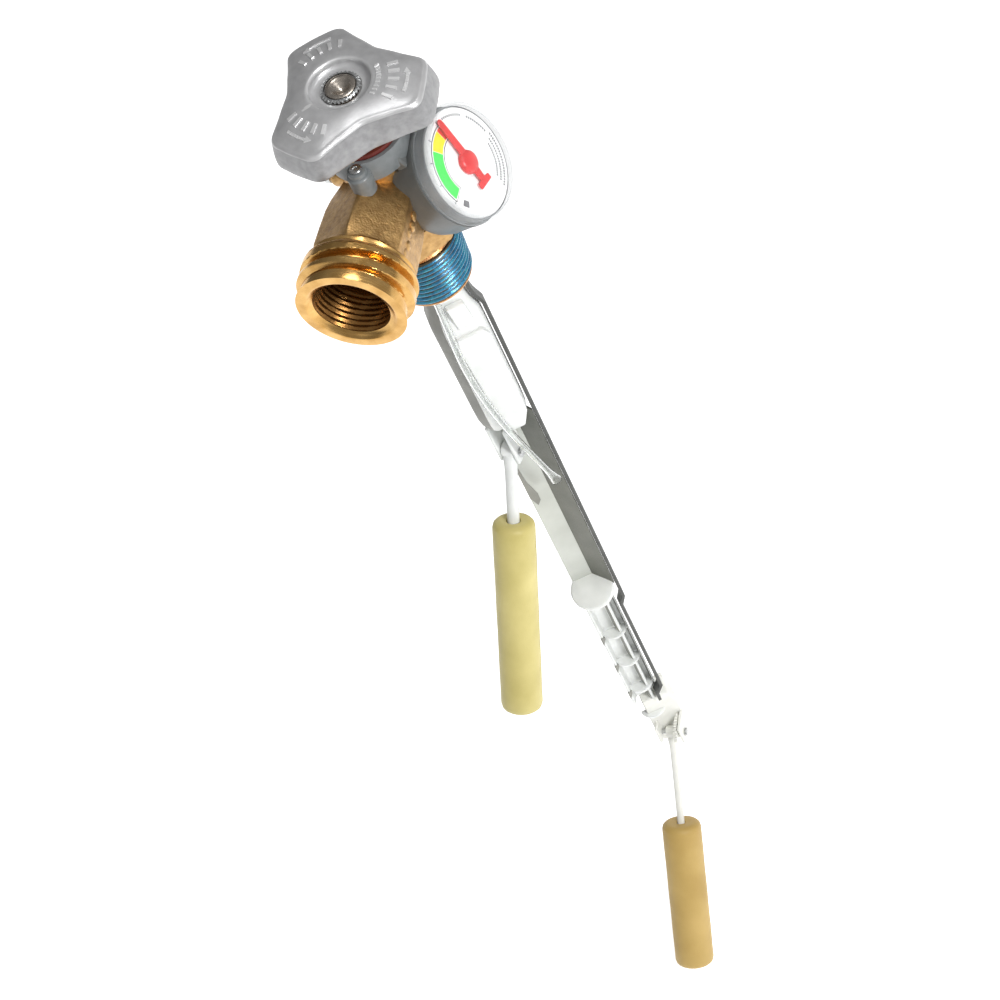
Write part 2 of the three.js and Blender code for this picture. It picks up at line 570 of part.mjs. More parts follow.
function ladderGuide() {
  const { left, right, end, rib, ribs } = LADDER;
  const start = FLANGE.z - FLANGE.thick / 2 - GAP;
  const wall = 1.2;
  const solids = [prism([[left, -3.4], [left + wall, -3.4], [left + wall, 2.4], [right - wall, 2.4],
    [right - wall, -3.4], [right, -3.4], [right, 6], [3.2, 6], [3.2, 2.4 + wall], [left, 2.4 + wall]], end, start)];
  for (let k = 0; k < ribs; k++) {
    const z = start - rib * (k + 0.7);
    if (z > end + 2) solids.push(block(left + 0.4, right - 0.4, -5.4, 3, z - 0.8, z + 0.8));
  }
  return cut(join(...solids),
    rod(SHAFT.radius + 0.4, end - 1, start + 1, FINE).translate(SHAFT.x, SHAFT.y, 0),
    block(RAIL.outer - 4.4 - RAIL.thick - GAP, RAIL.outer, RAIL.front - 1, RAIL.back + GAP, -306.7, -288.7));
}
piece('ladder_guide', ladderGuide(), whitePlastic, stemHardware);

function gearHousing() {
  const { left, right, front, back, top, bottom } = GEAR_BOX;
  const ears = hingeEars(GAUGE_FLOAT, 4.0, 1.4, 3.4, 6.5, 8);
  const shell = join(block(left, right, front, back, bottom, top), ...ears);
  return cut(shell,
    onHinge(alongPin(rod(SECTOR.radius + 0.6, -4.0, 4.0)), GAUGE_FLOAT),
    onHinge(block(-4.0, 4.0, -12, 0, -14, 9), GAUGE_FLOAT),
    onHinge(alongPin(rod(PIN + 0.05, -9, 9, FINE)), GAUGE_FLOAT),
    rod(3.0, -325.7, -317.2, FINE).translate(SHAFT.x, SHAFT.y, 0),
    rod(SHAFT.radius + 0.4, -321.7, top + 1, FINE).translate(SHAFT.x, SHAFT.y, 0));
}
piece('gear_housing', gearHousing(), creamPlastic, stemHardware);
piece('gear_cover', block(-0.6, 10.4, GEAR_BOX.back + GAP, GEAR_BOX.back + 1.4, GEAR_BOX.bottom + 1, GEAR_BOX.top - 2),
  creamPlastic, stemHardware);

piece('gauge_float_arm', toSolid(onHinge(toGeometry(floatArm(GAUGE_FLOAT, 14)), GAUGE_FLOAT)), creamPlastic,
  stemHardware);
piece('gauge_float', onHinge(floatBody(GAUGE_FLOAT, 14.5), GAUGE_FLOAT), floatFoam, stemHardware);
piece('gauge_pivot_pin', onHinge(hingePin(5.6), GAUGE_FLOAT), steel, stemHardware);

// toothed segment beside the arm's hub; its angles are measured from the arm
function gaugeSector() {
  const { radius, from, to, low, high } = SECTOR;
  const outline = [];
  const steps = 48;
  for (let k = 0; k <= steps; k++) {
    const angle = deg(270 - GAUGE_FLOAT.tilt - from - ((to - from) * k) / steps);
    const reach = k % 4 < 2 ? radius : radius - 1.1;
    outline.push([reach * Math.cos(angle), reach * Math.sin(angle)]);
  }
  outline.push([0, 0]);
  const plate = prism(outline.reverse(), low, high).rotateZ(Math.PI / 2).rotateY(Math.PI / 2);
  return cut(join(plate, alongPin(rod(2.4, low, high, FINE))), alongPin(rod(PIN + 0.05, -6, 6, FINE)));
}
piece('gauge_sector', toSolid(onHinge(toGeometry(gaugeSector()), GAUGE_FLOAT)), creamPlastic, stemHardware);

piece('drive_shaft', rod(SHAFT.radius, SHAFT.bottom, SHAFT.top, 12).translate(SHAFT.x, SHAFT.y, 0), steel,
  stemHardware);

function drivePinion() {
  const teeth = 10;
  const outline = [];
  for (let k = 0; k < teeth; k++) {
    for (const [step, radius] of [[0, 1.8], [0.45, 1.8], [0.5, 2.4], [0.95, 2.4]]) {
      const angle = (2 * Math.PI * (k + step)) / teeth;
      outline.push([radius * Math.cos(angle), radius * Math.sin(angle)]);
    }
  }
  return cut(toSolid(prism(outline, -322.1, -318.1)), rod(SHAFT.radius + 0.1, -326.7, -316.7, FINE));
}
piece('drive_pinion', toSolid(toGeometry(drivePinion()).translate(SHAFT.x, SHAFT.y, 0)), creamPlastic, stemHardware);
piece('drive_magnet', ring(SHAFT.radius + 0.1, 2.0, -1.5, 3, FINE).translate(SHAFT.x, SHAFT.y, 0), magnet, stemHardware);

export default valve;
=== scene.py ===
"""Looks for the cylinder valve with overfill stop and float gauge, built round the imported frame."""
import math

import bmesh
import bpy
from mathutils import Matrix, Vector


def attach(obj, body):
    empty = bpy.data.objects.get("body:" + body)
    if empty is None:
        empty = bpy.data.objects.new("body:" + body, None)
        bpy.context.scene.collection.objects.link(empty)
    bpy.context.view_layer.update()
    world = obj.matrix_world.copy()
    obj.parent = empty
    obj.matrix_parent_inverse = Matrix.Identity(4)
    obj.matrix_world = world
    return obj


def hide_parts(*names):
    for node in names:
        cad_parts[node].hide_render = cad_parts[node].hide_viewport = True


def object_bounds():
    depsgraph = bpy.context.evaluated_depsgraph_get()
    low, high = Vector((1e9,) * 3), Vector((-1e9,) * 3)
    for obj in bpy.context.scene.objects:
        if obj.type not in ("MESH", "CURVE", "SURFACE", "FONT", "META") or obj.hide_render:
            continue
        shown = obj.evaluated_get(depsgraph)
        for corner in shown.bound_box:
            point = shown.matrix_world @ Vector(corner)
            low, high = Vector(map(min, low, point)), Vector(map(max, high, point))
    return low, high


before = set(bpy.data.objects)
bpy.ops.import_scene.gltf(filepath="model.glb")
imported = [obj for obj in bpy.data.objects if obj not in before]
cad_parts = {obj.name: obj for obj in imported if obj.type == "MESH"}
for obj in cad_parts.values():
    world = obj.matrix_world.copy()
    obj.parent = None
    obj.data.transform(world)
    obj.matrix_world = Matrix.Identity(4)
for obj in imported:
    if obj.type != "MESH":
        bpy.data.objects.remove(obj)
cad_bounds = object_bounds()

MM = 0.001
TAU = 2 * math.pi
AROUND = 112                 # points round a large turned surface
AXIS = 0.02                  # radius of the smallest ring of a turned piece that closes on its axis

# ---- driving dimensions (mm)

OUTLET = {"height": 22.4, "end": 45.9, "crest": 16.6, "root": 14.2, "pitch": 5.08, "nose": 15.0,
          "bore": 11.3}
INLET = {"top": -2.2, "bottom": -20.5, "radius": 13.35, "pitch": 1.814, "depth": 0.85, "taper": 1 / 32,
         "end": -21.9}
HEX = {"flats": 25.2, "low": 0.05, "high": 9.5, "normal": 15}
BARREL = {"radius": 12.4, "neck": 9.9, "top": 43.9}
WHEEL = {"rim": 52.7, "top": 63.55, "turn": 5}
GAUGE = {"centre": (21.4, 2.5, 24.4), "azimuth": -2, "elevation": 28, "radius": 17.6, "back": 13.5}

# stem hardware, in a frame that is turned about the spindle axis
STEM_TURN = 30
CHANNEL = {"top": -96.4, "bottom": -210.5}
LADDER = {"left": -4.6, "right": 6.9, "top": -214.6, "bottom": -302.0, "shelves": 4, "first": 32.0,
          "step": 22.3}

# floats: turn is about Z in the stem frame, and tilt is measured from straight down
OPD_FLOAT = {"pivot": (-2.8, -3.0, -112.4), "turn": -41.4, "tilt": 31, "arm": 27, "arm_radius": 2.15,
             "radius": 7.3, "length": 74.9, "hub": 3.0}
GAUGE_FLOAT = {"pivot": (4.4, -4.4, -328.7), "turn": -27.2, "tilt": 41, "arm": 40.1, "arm_radius": 1.5,
               "radius": 8.0, "length": 63.85, "hub": 2.6}


# ---- materials

def new_material(name):
    material = bpy.data.materials.new(name)
    material.use_nodes = True
    nodes = material.node_tree.nodes
    nodes.clear()
    output = nodes.new("ShaderNodeOutputMaterial")
    shader = nodes.new("ShaderNodeBsdfPrincipled")
    material.node_tree.links.new(shader.outputs["BSDF"], output.inputs["Surface"])
    return material, shader


def add_noise(material, scale, detail=4.0, stretch=(1, 1, 1)):
    tree = material.node_tree
    coords = tree.nodes.new("ShaderNodeTexCoord")
    mapping = tree.nodes.new("ShaderNodeMapping")
    mapping.inputs["Scale"].default_value = stretch
    noise = tree.nodes.new("ShaderNodeTexNoise")
    noise.inputs["Scale"].default_value = scale
    noise.inputs["Detail"].default_value = detail
    tree.links.new(coords.outputs["Object"], mapping.inputs["Vector"])
    tree.links.new(mapping.outputs["Vector"], noise.inputs["Vector"])
    return noise.outputs["Fac"]


def add_ramp(material, source, stops):
    ramp = material.node_tree.nodes.new("ShaderNodeValToRGB")
    while len(ramp.color_ramp.elements) < len(stops):
        ramp.color_ramp.elements.new(0.5)
    for element, (position, colour) in zip(ramp.color_ramp.elements, stops):
        element.position = position
        element.color = (*colour, 1)
    material.node_tree.links.new(source, ramp.inputs["Fac"])
    return ramp.outputs["Color"]


def add_range(material, source, low, high):
    """Spread the middle of a noise, where nearly all of it lies, over low to high."""
    spread = material.node_tree.nodes.new("ShaderNodeMapRange")
    spread.inputs["From Min"].default_value = 0.3
    spread.inputs["From Max"].default_value = 0.7
    spread.inputs["To Min"].default_value = low
    spread.inputs["To Max"].default_value = high
    material.node_tree.links.new(source, spread.inputs["Value"])
    return spread.outputs["Result"]


def add_bump(material, shader, heights, strength, distance):
    """Stack one bump on another; heights holds (output, share of the strength) pairs."""
    tree = material.node_tree
    normal = None
    for height, share in heights:
        bump = tree.nodes.new("ShaderNodeBump")
        bump.inputs["Strength"].default_value = strength * share
        bump.inputs["Distance"].default_value = distance
        tree.links.new(height, bump.inputs["Height"])
        if normal is not None:
            tree.links.new(normal, bump.inputs["Normal"])
        normal = bump.outputs["Normal"]
    tree.links.new(normal, shader.inputs["Normal"])


def finish_material(name, dark, light, rough, metallic, mottle=300, grain=2500, bump=0.3, depth=0.0001,
                    stretch=(1, 1, 1), coat=0.0, subsurface=0.0, edge=None):
    """A moulded, cast or brushed finish: mottled colour, uneven gloss, fine grain, and worn edges."""
    material, shader = new_material(name)
    tree = material.node_tree
    shader.inputs["Metallic"].default_value = metallic
    shader.inputs["Coat Weight"].default_value = coat
    shader.inputs["Coat Roughness"].default_value = 0.12
    if subsurface:
        shader.inputs["Subsurface Weight"].default_value = subsurface
        shader.inputs["Subsurface Radius"].default_value = (0.004, 0.004, 0.0035)
    broad = add_noise(material, mottle)
    fine = add_noise(material, grain, 6.0, stretch)
    colour = add_ramp(material, broad, [(0.3, dark), (0.7, light)])
    if edge is not None:
        geometry = tree.nodes.new("ShaderNodeNewGeometry")
        wear = add_ramp(material, geometry.outputs["Pointiness"], [(0.51, (0, 0, 0)), (0.56, (1, 1, 1))])
        mix = tree.nodes.new("ShaderNodeMix")
        mix.data_type = "RGBA"
        mix.inputs["B"].default_value = (*edge, 1)
        tree.links.new(wear, mix.inputs["Factor"])
        tree.links.new(colour, mix.inputs["A"])
        colour = mix.outputs["Result"]
    tree.links.new(colour, shader.inputs["Base Color"])
    tree.links.new(add_range(material, fine, *rough), shader.inputs["Roughness"])
    add_bump(material, shader, [(fine, 1.0), (broad, 0.4)], bump, depth)
    return material


def clear_material(name, tint, rough, grain, bump, ior=1.5):
    material, shader = new_material(name)
    shader.inputs["Transmission Weight"].default_value = 1.0
    shader.inputs["IOR"].default_value = ior
    fine = add_noise(material, grain)
    colour = add_ramp(material, fine, [(0.3, tint), (0.7, (1, 1, 1))])
    material.node_tree.links.new(colour, shader.inputs["Base Color"])
    material.node_tree.links.new(add_range(material, fine, *rough), shader.inputs["Roughness"])
    add_bump(material, shader, [(fine, 1.0)], bump, 0.00005)
    return material


def principled(material):
    return next(n for n in material.node_tree.nodes if n.type == "BSDF_PRINCIPLED")


def see_through(material, cover):
    """Thin clear plastic that lets light straight through; cover is the share that the surface stops."""
    principled(material).inputs["Alpha"].default_value = cover


CAST_BRASS = finish_material(
    "cast_brass", (0.36, 0.205, 0.075), (0.58, 0.36, 0.145), (0.30, 0.46), 0.9,
    mottle=500, grain=1500, bump=0.55, depth=0.00035)
TURNED_BRASS = finish_material(
    "turned_brass", (0.52, 0.29, 0.085), (0.74, 0.46, 0.17), (0.14, 0.30), 1.0,
    mottle=220, grain=900, bump=0.12, depth=0.0001, stretch=(0.15, 3.0, 0.15))
COPPER = finish_material(
    "copper_chamfer", (0.55, 0.26, 0.10), (0.78, 0.45, 0.22), (0.2, 0.38), 1.0,
    mottle=400, grain=2000, bump=0.1)
# Darker brass for the inside of the outlet: painted shade down the bore.
BORE_PAINTED_SHADE = finish_material(
    "bore_painted_shade", (0.16, 0.075, 0.02), (0.34, 0.17, 0.05), (0.22, 0.42), 0.9,
    mottle=60, grain=1500, bump=0.12)
SPINDLE_BRASS = finish_material(
    "spindle_brass", (0.38, 0.34, 0.30), (0.62, 0.56, 0.49), (0.16, 0.32), 1.0,
    mottle=600, grain=2400, bump=0.12)
WHEEL_PAINT = finish_material(
    "wheel_paint", (0.45, 0.45, 0.455), (0.54, 0.54, 0.545), (0.30, 0.44), 0.6,
    mottle=350, grain=2600, bump=0.22, depth=0.00012, coat=0.15, edge=(0.72, 0.72, 0.72))
# Darker copy of the wheel paint: painted shade on the skirt, which is the same paint as the top.
WHEEL_SKIRT_PAINTED_SHADE = finish_material(
    "wheel_skirt_painted_shade", (0.25, 0.25, 0.255), (0.34, 0.34, 0.345), (0.32, 0.46), 0.6,
    mottle=500, grain=5200, bump=0.3, depth=0.00015, coat=0.1)
GREY_PLASTIC = finish_material(
    "grey_plastic", (0.125, 0.133, 0.132), (0.165, 0.172, 0.170), (0.36, 0.5), 0.0,
    mottle=160, grain=5200, bump=0.16)
CLAMP_PLASTIC = finish_material(
    "clamp_plastic", (0.15, 0.165, 0.17), (0.22, 0.235, 0.24), (0.3, 0.45), 0.0,
    mottle=300, grain=4200, bump=0.18)
WHITE_PLASTIC = finish_material(
    "white_plastic", (0.74, 0.76, 0.74), (0.86, 0.875, 0.86), (0.3, 0.46), 0.0,
    mottle=120, grain=3200, bump=0.08, subsurface=0.15)
# Dark grey that stands in for shade on white plastic: painted shade and painted shadows on the stem.
PAINTED_SHADE_GREY = finish_material(
    "painted_shade_grey", (0.20, 0.20, 0.18), (0.30, 0.30, 0.27), (0.4, 0.6), 0.0,
    mottle=60, grain=2200, bump=0.08)
# White plastic greyed for the channel floor: painted partial shade.
FLOOR_WHITE_PAINTED_SHADE = finish_material(
    "floor_white_painted_shade", (0.50, 0.52, 0.48), (0.62, 0.64, 0.60), (0.34, 0.5), 0.0,
    mottle=60, grain=2600, bump=0.08, subsurface=0.1)
CREAM_PLASTIC = finish_material(
    "cream_plastic", (0.78, 0.78, 0.73), (0.87, 0.87, 0.82), (0.32, 0.48), 0.0,
    mottle=140, grain=3000, bump=0.08, subsurface=0.15)
RAIL_STEEL = finish_material(
    "rail_steel", (0.055, 0.057, 0.053), (0.10, 0.103, 0.097), (0.42, 0.6), 0.25,
    mottle=90, grain=900, bump=0.1, stretch=(6, 6, 0.2))
# Dark grey for the channel's standing wall: painted shade on white plastic.
WALL_PAINTED_SHADE = finish_material(
    "wall_painted_shade", (0.13, 0.135, 0.115), (0.18, 0.185, 0.16), (0.4, 0.6), 0.0,
    mottle=80, grain=2600, bump=0.08)
SMALL_STEEL = finish_material(
    "small_steel", (0.42, 0.43, 0.43), (0.62, 0.63, 0.63), (0.2, 0.36), 1.0,
    mottle=700, grain=3000, bump=0.12)
UPPER_FOAM = finish_material(
    "upper_foam", (0.53, 0.45, 0.15), (0.68, 0.59, 0.235), (0.38, 0.56), 0.0,
    mottle=55, grain=1900, bump=0.3, depth=0.0002, subsurface=0.08)
LOWER_FOAM = finish_material(
    "lower_foam", (0.47, 0.31, 0.085), (0.58, 0.40, 0.13), (0.46, 0.62), 0.0,
    mottle=55, grain=1900, bump=0.3, depth=0.0002, subsurface=0.05)
RED_FIBRE = finish_material("red_fibre", (0.10, 0.012, 0.008), (0.16, 0.025, 0.018), (0.5, 0.7), 0.0)
RUBBER = finish_material("rubber", (0.02, 0.02, 0.02), (0.035, 0.035, 0.035), (0.6, 0.8), 0.0)
MAGNET = finish_material("ferrite", (0.05, 0.05, 0.055), (0.09, 0.09, 0.1), (0.4, 0.6), 0.3)
DIAL_WHITE = finish_material(
    "dial_white", (0.92, 0.92, 0.92), (0.97, 0.97, 0.97), (0.35, 0.45), 0.0,
    mottle=90, grain=4000, bump=0.03)
NEEDLE_RED = finish_material(
    "needle_red", (0.62, 0.012, 0.012), (0.76, 0.025, 0.025), (0.28, 0.4), 0.0,
    mottle=300, grain=3500, bump=0.08)


def print_ink(name, dark, light, rough=(0.3, 0.42)):
    return finish_material(name, dark, light, rough, 0.0, bump=0.03)


BAND_GREEN = print_ink("band_green", (0.045, 0.76, 0.085), (0.07, 0.84, 0.12))
BAND_YELLOW = print_ink("band_yellow", (0.90, 0.72, 0.0), (0.97, 0.80, 0.01))
BAND_RED = print_ink("band_red", (0.70, 0.03, 0.01), (0.80, 0.05, 0.02))
PRINT_DARK = print_ink("print_dark", (0.03, 0.03, 0.035), (0.06, 0.06, 0.07))
PRINT_GREY = print_ink("print_grey", (0.13, 0.13, 0.14), (0.20, 0.20, 0.21), (0.35, 0.45))
LENS_CLEAR = finish_material(
    "lens_clear", (0.82, 0.84, 0.85), (0.95, 0.97, 0.97), (0.04, 0.10), 0.0,
    mottle=60, grain=900, bump=0.02)
see_through(LENS_CLEAR, 0.03)
LENS_RIM = finish_material(
    "lens_rim", (0.38, 0.41, 0.42), (0.66, 0.69, 0.70), (0.06, 0.14), 0.0,
    mottle=90, grain=1200, bump=0.05)
see_through(LENS_RIM, 0.27)
TUBE_CLEAR = clear_material("tube_clear", (0.90, 0.93, 0.91), (0.03, 0.12), 400, 0.05, ior=1.4)


def sealant_material():
    """Thread sealant: deep blue with thin teal and pale bands left by the coating."""
    material, shader = new_material("thread_sealant")
    broad = add_noise(material, 260, 5.0, (1, 1, 2.5))
    fine = add_noise(material, 1800, 6.0)
    colour = add_ramp(material, broad, [(0.30, (0.012, 0.10, 0.20)), (0.48, (0.02, 0.19, 0.36)),
                                        (0.66, (0.04, 0.30, 0.42)), (0.80, (0.12, 0.42, 0.48))])
    material.node_tree.links.new(colour, shader.inputs["Base Color"])
    material.node_tree.links.new(add_range(material, fine, 0.16, 0.34), shader.inputs["Roughness"])
    shader.inputs["Metallic"].default_value = 0.45
    shader.inputs["Coat Weight"].default_value = 0.6
    shader.inputs["Coat Roughness"].default_value = 0.12
    add_bump(material, shader, [(fine, 1.0), (broad, 0.6)], 0.25, 0.0002)
    return material


SEALANT = sealant_material()
# Near-black for the roots of the sealant thread: painted shade in the grooves.
GROOVE_PAINTED_SHADE = finish_material(
    "groove_painted_shade", (0.02, 0.02, 0.015), (0.09, 0.07, 0.035), (0.3, 0.5), 0.6,
    mottle=300, grain=2200, bump=0.15)


# ---- mesh helpers

def place(name, verts, faces, material, body, stands_for=(), smooth=35, matrix=None):
    """A mesh in millimetres becomes a piece in metres that rides on a body."""
    mesh = bpy.data.meshes.new(name)
    if matrix is not None:
        verts = [matrix @ Vector(v) for v in verts]
    mesh.from_pydata([tuple(c * MM for c in v) for v in verts], [], faces)
    mesh.validate()
    shell = bmesh.new()
    shell.from_mesh(mesh)
    bmesh.ops.recalc_face_normals(shell, faces=shell.faces)
    shell.to_mesh(mesh)
    shell.free()
    mesh.materials.append(material)
    mesh.shade_smooth()
    if smooth < 180:
        mesh.set_sharp_from_angle(angle=math.radians(smooth))
    piece = bpy.data.objects.new(name, mesh)
    bpy.context.collection.objects.link(piece)
    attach(piece, body)
    if stands_for:
        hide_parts(*stands_for)
    return piece


def ring_points(reach, height, around):
    """Points round local Z at one height; reach(angle) is their radius."""
    points = []
    for k in range(around):
        angle = TAU * k / around
        radius = reach(angle)
        points.append((radius * math.cos(angle), radius * math.sin(angle), height))
    return points


def tube_faces(rows, around, closed=True):
    """Quads between rings of points; a closed skin joins last ring to first, an open one is capped."""
    faces = []
    last = rows if closed else rows - 1
    for i in range(last):
        a = i * around
        b = ((i + 1) % rows) * around
        for k in range(around):
            n = (k + 1) % around
            faces.append((a + k, a + n, b + n, b + k))
    if not closed:
        faces.append(tuple(reversed(range(around))))
        faces.append(tuple((rows - 1) * around + k for k in range(around)))
    return faces


def lathe(name, profile, material, body, matrix=None, around=AROUND, stands_for=(), radius=None,
          smooth=35):
    """Turn (radius, height) pairs about local Z; a profile that starts at AXIS is solid to the middle.

    radius(r, h, angle) may vary the radius round the turn.
    """
    verts = []
    for r, h in profile:
        verts += ring_points(lambda angle: radius(r, h, angle) if radius else r, h, around)
    faces = tube_faces(len(profile), around, profile[0][0] != AXIS)
    return place(name, verts, faces, material, body, stands_for, smooth, matrix)


def second_finish(piece, material, belongs):
    """Give a second material to the faces for which belongs(face, centre in mm) is true."""
    piece.data.materials.append(material)
    for face in piece.data.polygons:
        if belongs(face, face.center / MM):
            face.material_index = 1


def facing(direction, origin):
    """Local Z along direction, local Y as near to upright as it can be."""
    upright = Vector((0, 0, 1))
    z = Vector(direction).normalized()
    y = upright - z * upright.dot(z)
    y.normalize()
    x = y.cross(z)
    return Matrix.Translation(Vector(origin)) @ Matrix((x, y, z)).transposed().to_4x4()


def stem_frame(x=0, y=0, z=0, turn=0.0):
    return (Matrix.Rotation(math.radians(STEM_TURN), 4, "Z") @ Matrix.Translation((x, y, z))
            @ Matrix.Rotation(math.radians(turn), 4, "Z"))


def rounded_polygon(normals, sharpness):
    """Radius at an angle of a polygon with softened corners, from (normal angle, distance) pairs."""
    def reach(angle):
        total = 0.0
        for turn, distance in normals:
            lean = math.cos(angle - math.radians(turn))
            if lean > 0:
                total += (lean / distance) ** sharpness
        return total ** (-1 / sharpness)
    return reach


def hexagon(apothem, first_normal=0, sharpness=90):
    return rounded_polygon([(first_normal + 60 * k, apothem) for k in range(6)], sharpness)


def bevelled(piece, width):
    bevel = piece.modifiers.new("bevel", "BEVEL")
    bevel.width = width * MM
    bevel.segments = 2
    bevel.limit_method = "ANGLE"
    bevel.angle_limit = math.radians(40)
    bevel.harden_normals = False


def prism(name, outline, low, high, material, body, matrix=None, stands_for=(), bevel=0.2, axes="xy"):
    """Extrude a flat outline; axes names the plane it is drawn in, xy or xz."""
    count = len(outline)
    if axes == "xy":
        verts = [(x, y, low) for x, y in outline] + [(x, y, high) for x, y in outline]
    else:
        verts = [(x, low, z) for x, z in outline] + [(x, high, z) for x, z in outline]
    faces = [tuple(range(count)), tuple(reversed(range(count, 2 * count)))]
    faces += [(k, (k + 1) % count, count + (k + 1) % count, count + k) for k in range(count)]
    piece = place(name, verts, faces, material, body, stands_for, 35, matrix)
    if bevel:
        bevelled(piece, bevel)
    return piece


def box(name, x0, x1, y0, y1, z0, z1, material, body, matrix=None, stands_for=(), bevel=0.25):
    outline = [(x0, y0), (x1, y0), (x1, y1), (x0, y1)]
    return prism(name, outline, z0, z1, material, body, matrix, stands_for, bevel)


def curve_points(knots, per_span):
    """Catmull-Rom curve through the knots."""
    spots = [Vector(k) for k in knots]
    spots = [spots[0] * 2 - spots[1]] + spots + [spots[-1] * 2 - spots[-2]]
    out = []
    for i in range(1, len(spots) - 2):
        p0, p1, p2, p3 = spots[i - 1:i + 3]
        for step in range(per_span):
            t = step / per_span
            out.append(0.5 * ((2 * p1) + (p2 - p0) * t + (2 * p0 - 5 * p1 + 4 * p2 - p3) * t * t
                              + (3 * p1 - p0 - 3 * p2 + p3) * t ** 3))
    out.append(spots[-2])
    return out


def repaint(node, material):
    """Give a carried-over CAD node a finished material."""
    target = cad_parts[node]
    for spot in target.material_slots:
        spot.material = material
    target.data.shade_smooth()
    target.data.set_sharp_from_angle(angle=math.radians(32))


# ---- brass body

OUTLET_FRAME = facing((0, -1, 0), (0, 0, OUTLET["height"]))


def acme_tooth(phase):
    """Trapezium tooth from 0 at the root to 1 at the crest."""
    centred = abs((phase % 1.0) - 0.5) * 2
    return min(1.0, max(0.0, (0.78 - centred) / 0.34))


def outlet_barrel():
    """Turned outlet: ACME thread outside, plain nose, and a finer thread down the bore."""
    end, nose = OUTLET["end"], OUTLET["nose"]
    start, stop = 33.0, 41.9
    thread_steps, bore_steps = 60, 72
    bore_top, bore_length = end - 1.4, 13.2
    profile = [(6, 29), (13.6, 29.5), (15.0, 31.0)]
    profile += [(OUTLET["root"], start + (stop - start) * k / thread_steps)
                for k in range(thread_steps + 1)]
    profile += [(nose, stop + 0.3), (nose, end - 1.0), (nose - 0.25, end - 0.45), (nose - 0.8, end - 0.1),
                (nose - 1.4, end), (13.1, end), (12.7, end - 0.1), (11.9, end - 0.9)]
    profile += [(OUTLET["bore"], bore_top - bore_length * k / bore_steps) for k in range(bore_steps + 1)]
    profile += [(11.2, 31.0), (11.0, 29.2), (8.7, 29.0), (8.6, 20.2), (5.4, 17.0), (5.4, 9.0), (6, 8.8)]

    def radius(r, h, angle):
        turn = angle / TAU
        if r == OUTLET["root"]:
            tooth = acme_tooth((h - 31.35) / OUTLET["pitch"] - turn)
            fade = min(1.0, (h - start) / 1.2) if h < start + 1.2 else 1.0
            fade = min(fade, max(0.0, (stop - h) / 1.0))
            base = r + (nose - 0.6 - r) * max(0.0, (h - 41.3) / 0.6)
            return base + (OUTLET["crest"] - base) * tooth * fade
        if r == OUTLET["bore"]:
            phase = ((h / INLET["pitch"]) + turn) % 1.0
            return r - 0.55 + 1.1 * abs(phase - 0.5)
        return r

    def in_bore(face, spot):
        return math.hypot(spot.x, spot.z - OUTLET["height"]) < 12.0 and -(end - 1.2) < spot.y < -6

    piece = lathe("outlet_barrel", profile, TURNED_BRASS, "valve", OUTLET_FRAME, 144, ("valve_body",),
                  radius=radius, smooth=50)
    # The bore's faces get the painted shade.
    second_finish(piece, BORE_PAINTED_SHADE, in_bore)


def outlet_neck():
    """Cast neck: six facets, with an edge on top, that flare and turn round at the thread."""
    around = 192
    sections = [(0, 9.4), (4, 9.9), (8, 10.9), (12, 11.9), (16, 12.5), (22, 12.8), (28, 13.0), (30, 13.2),
                (31.5, 13.9), (33.4, 16.2), (33.8, 16.3), (34.1, 15.2)]
    inside = [(34.1, 12.7), (29.5, 12.7), (29.3, 9.0), (0, 9.0)]
    facets = hexagon(1.0, sharpness=70)
    verts = []
    for h, flat in sections:
        grow = min(1.0, max(0.0, (h - 28.5) / 4.5))
        verts += ring_points(lambda angle: flat * (facets(angle) * (1 - grow) + grow), h, around)
    for h, reach in inside:
        verts += ring_points(lambda angle: reach, h, around)
    faces = tube_faces(len(sections) + len(inside), around)
    place("outlet_neck", verts, faces, CAST_BRASS, "valve", ("valve_body",), 26, OUTLET_FRAME)


def cast_bumps():
    """Low rounded bumps along one edge of the neck."""
    reach = 13.1
    dome = [(AXIS, 0.45), (0.8, 0.38), (1.3, 0.2), (1.55, 0.0), (1.5, -1.4), (AXIS, -1.5)]
    for index, (along, turn) in enumerate(((15.5, 13), (18.5, 10), (21.5, 14), (25, 9), (28, 12))):
        angle = math.radians(turn)
        foot = Matrix.Translation((reach * math.cos(angle), reach * math.sin(angle), along))
        lathe("cast_bump_%d" % index, dome, CAST_BRASS, "valve",
              OUTLET_FRAME @ foot @ Matrix.Rotation(math.pi / 2, 4, "Y"), 20)


def barrel():
    r, neck, top = BARREL["radius"], BARREL["neck"], BARREL["top"]
    profile = [(6, 6), (r - 0.6, 6), (r - 0.1, 8.5), (r, 10), (r, 22.5), (r - 0.3, 25), (r - 1.3, 28),
               (neck + 0.4, 30.8), (neck, 32.4), (neck, top - 0.6), (neck - 0.5, top), (8.4, top),
               (8.3, 37), (6.3, 36.8), (6.2, 12)]
    lathe("body_barrel", profile, CAST_BRASS, "valve", stands_for=("valve_body",))


def wrench_hexagon():
    """Six flats whose corners are turned round at both ends."""
    flats = hexagon(HEX["flats"] / 2, HEX["normal"])
    low, high = HEX["low"], HEX["high"]
    profile = [(9.5, low), (13.4, low), (14.1, low + 0.35), (14.7, low + 1.0), (14.7, high - 1.2),
               (14.1, high - 0.6), (13.2, high), (9.5, high)]
    lathe("wrench_hexagon", profile, CAST_BRASS, "valve", None, 144, ("valve_body",),
          radius=lambda r, h, angle: min(flats(angle), r), smooth=28)


def inlet_core():
    profile = [(9.2, 2), (11.4, 2), (11.4, -1.5), (12.0, -2.0), (12.1, -20.3), (12.35, -20.7),
               (12.3, -21.1), (11.4, INLET["end"]), (9.6, INLET["end"]), (9.2, -21.5)]
    lathe("inlet_core", profile, COPPER, "valve", stands_for=("valve_body",), smooth=28)


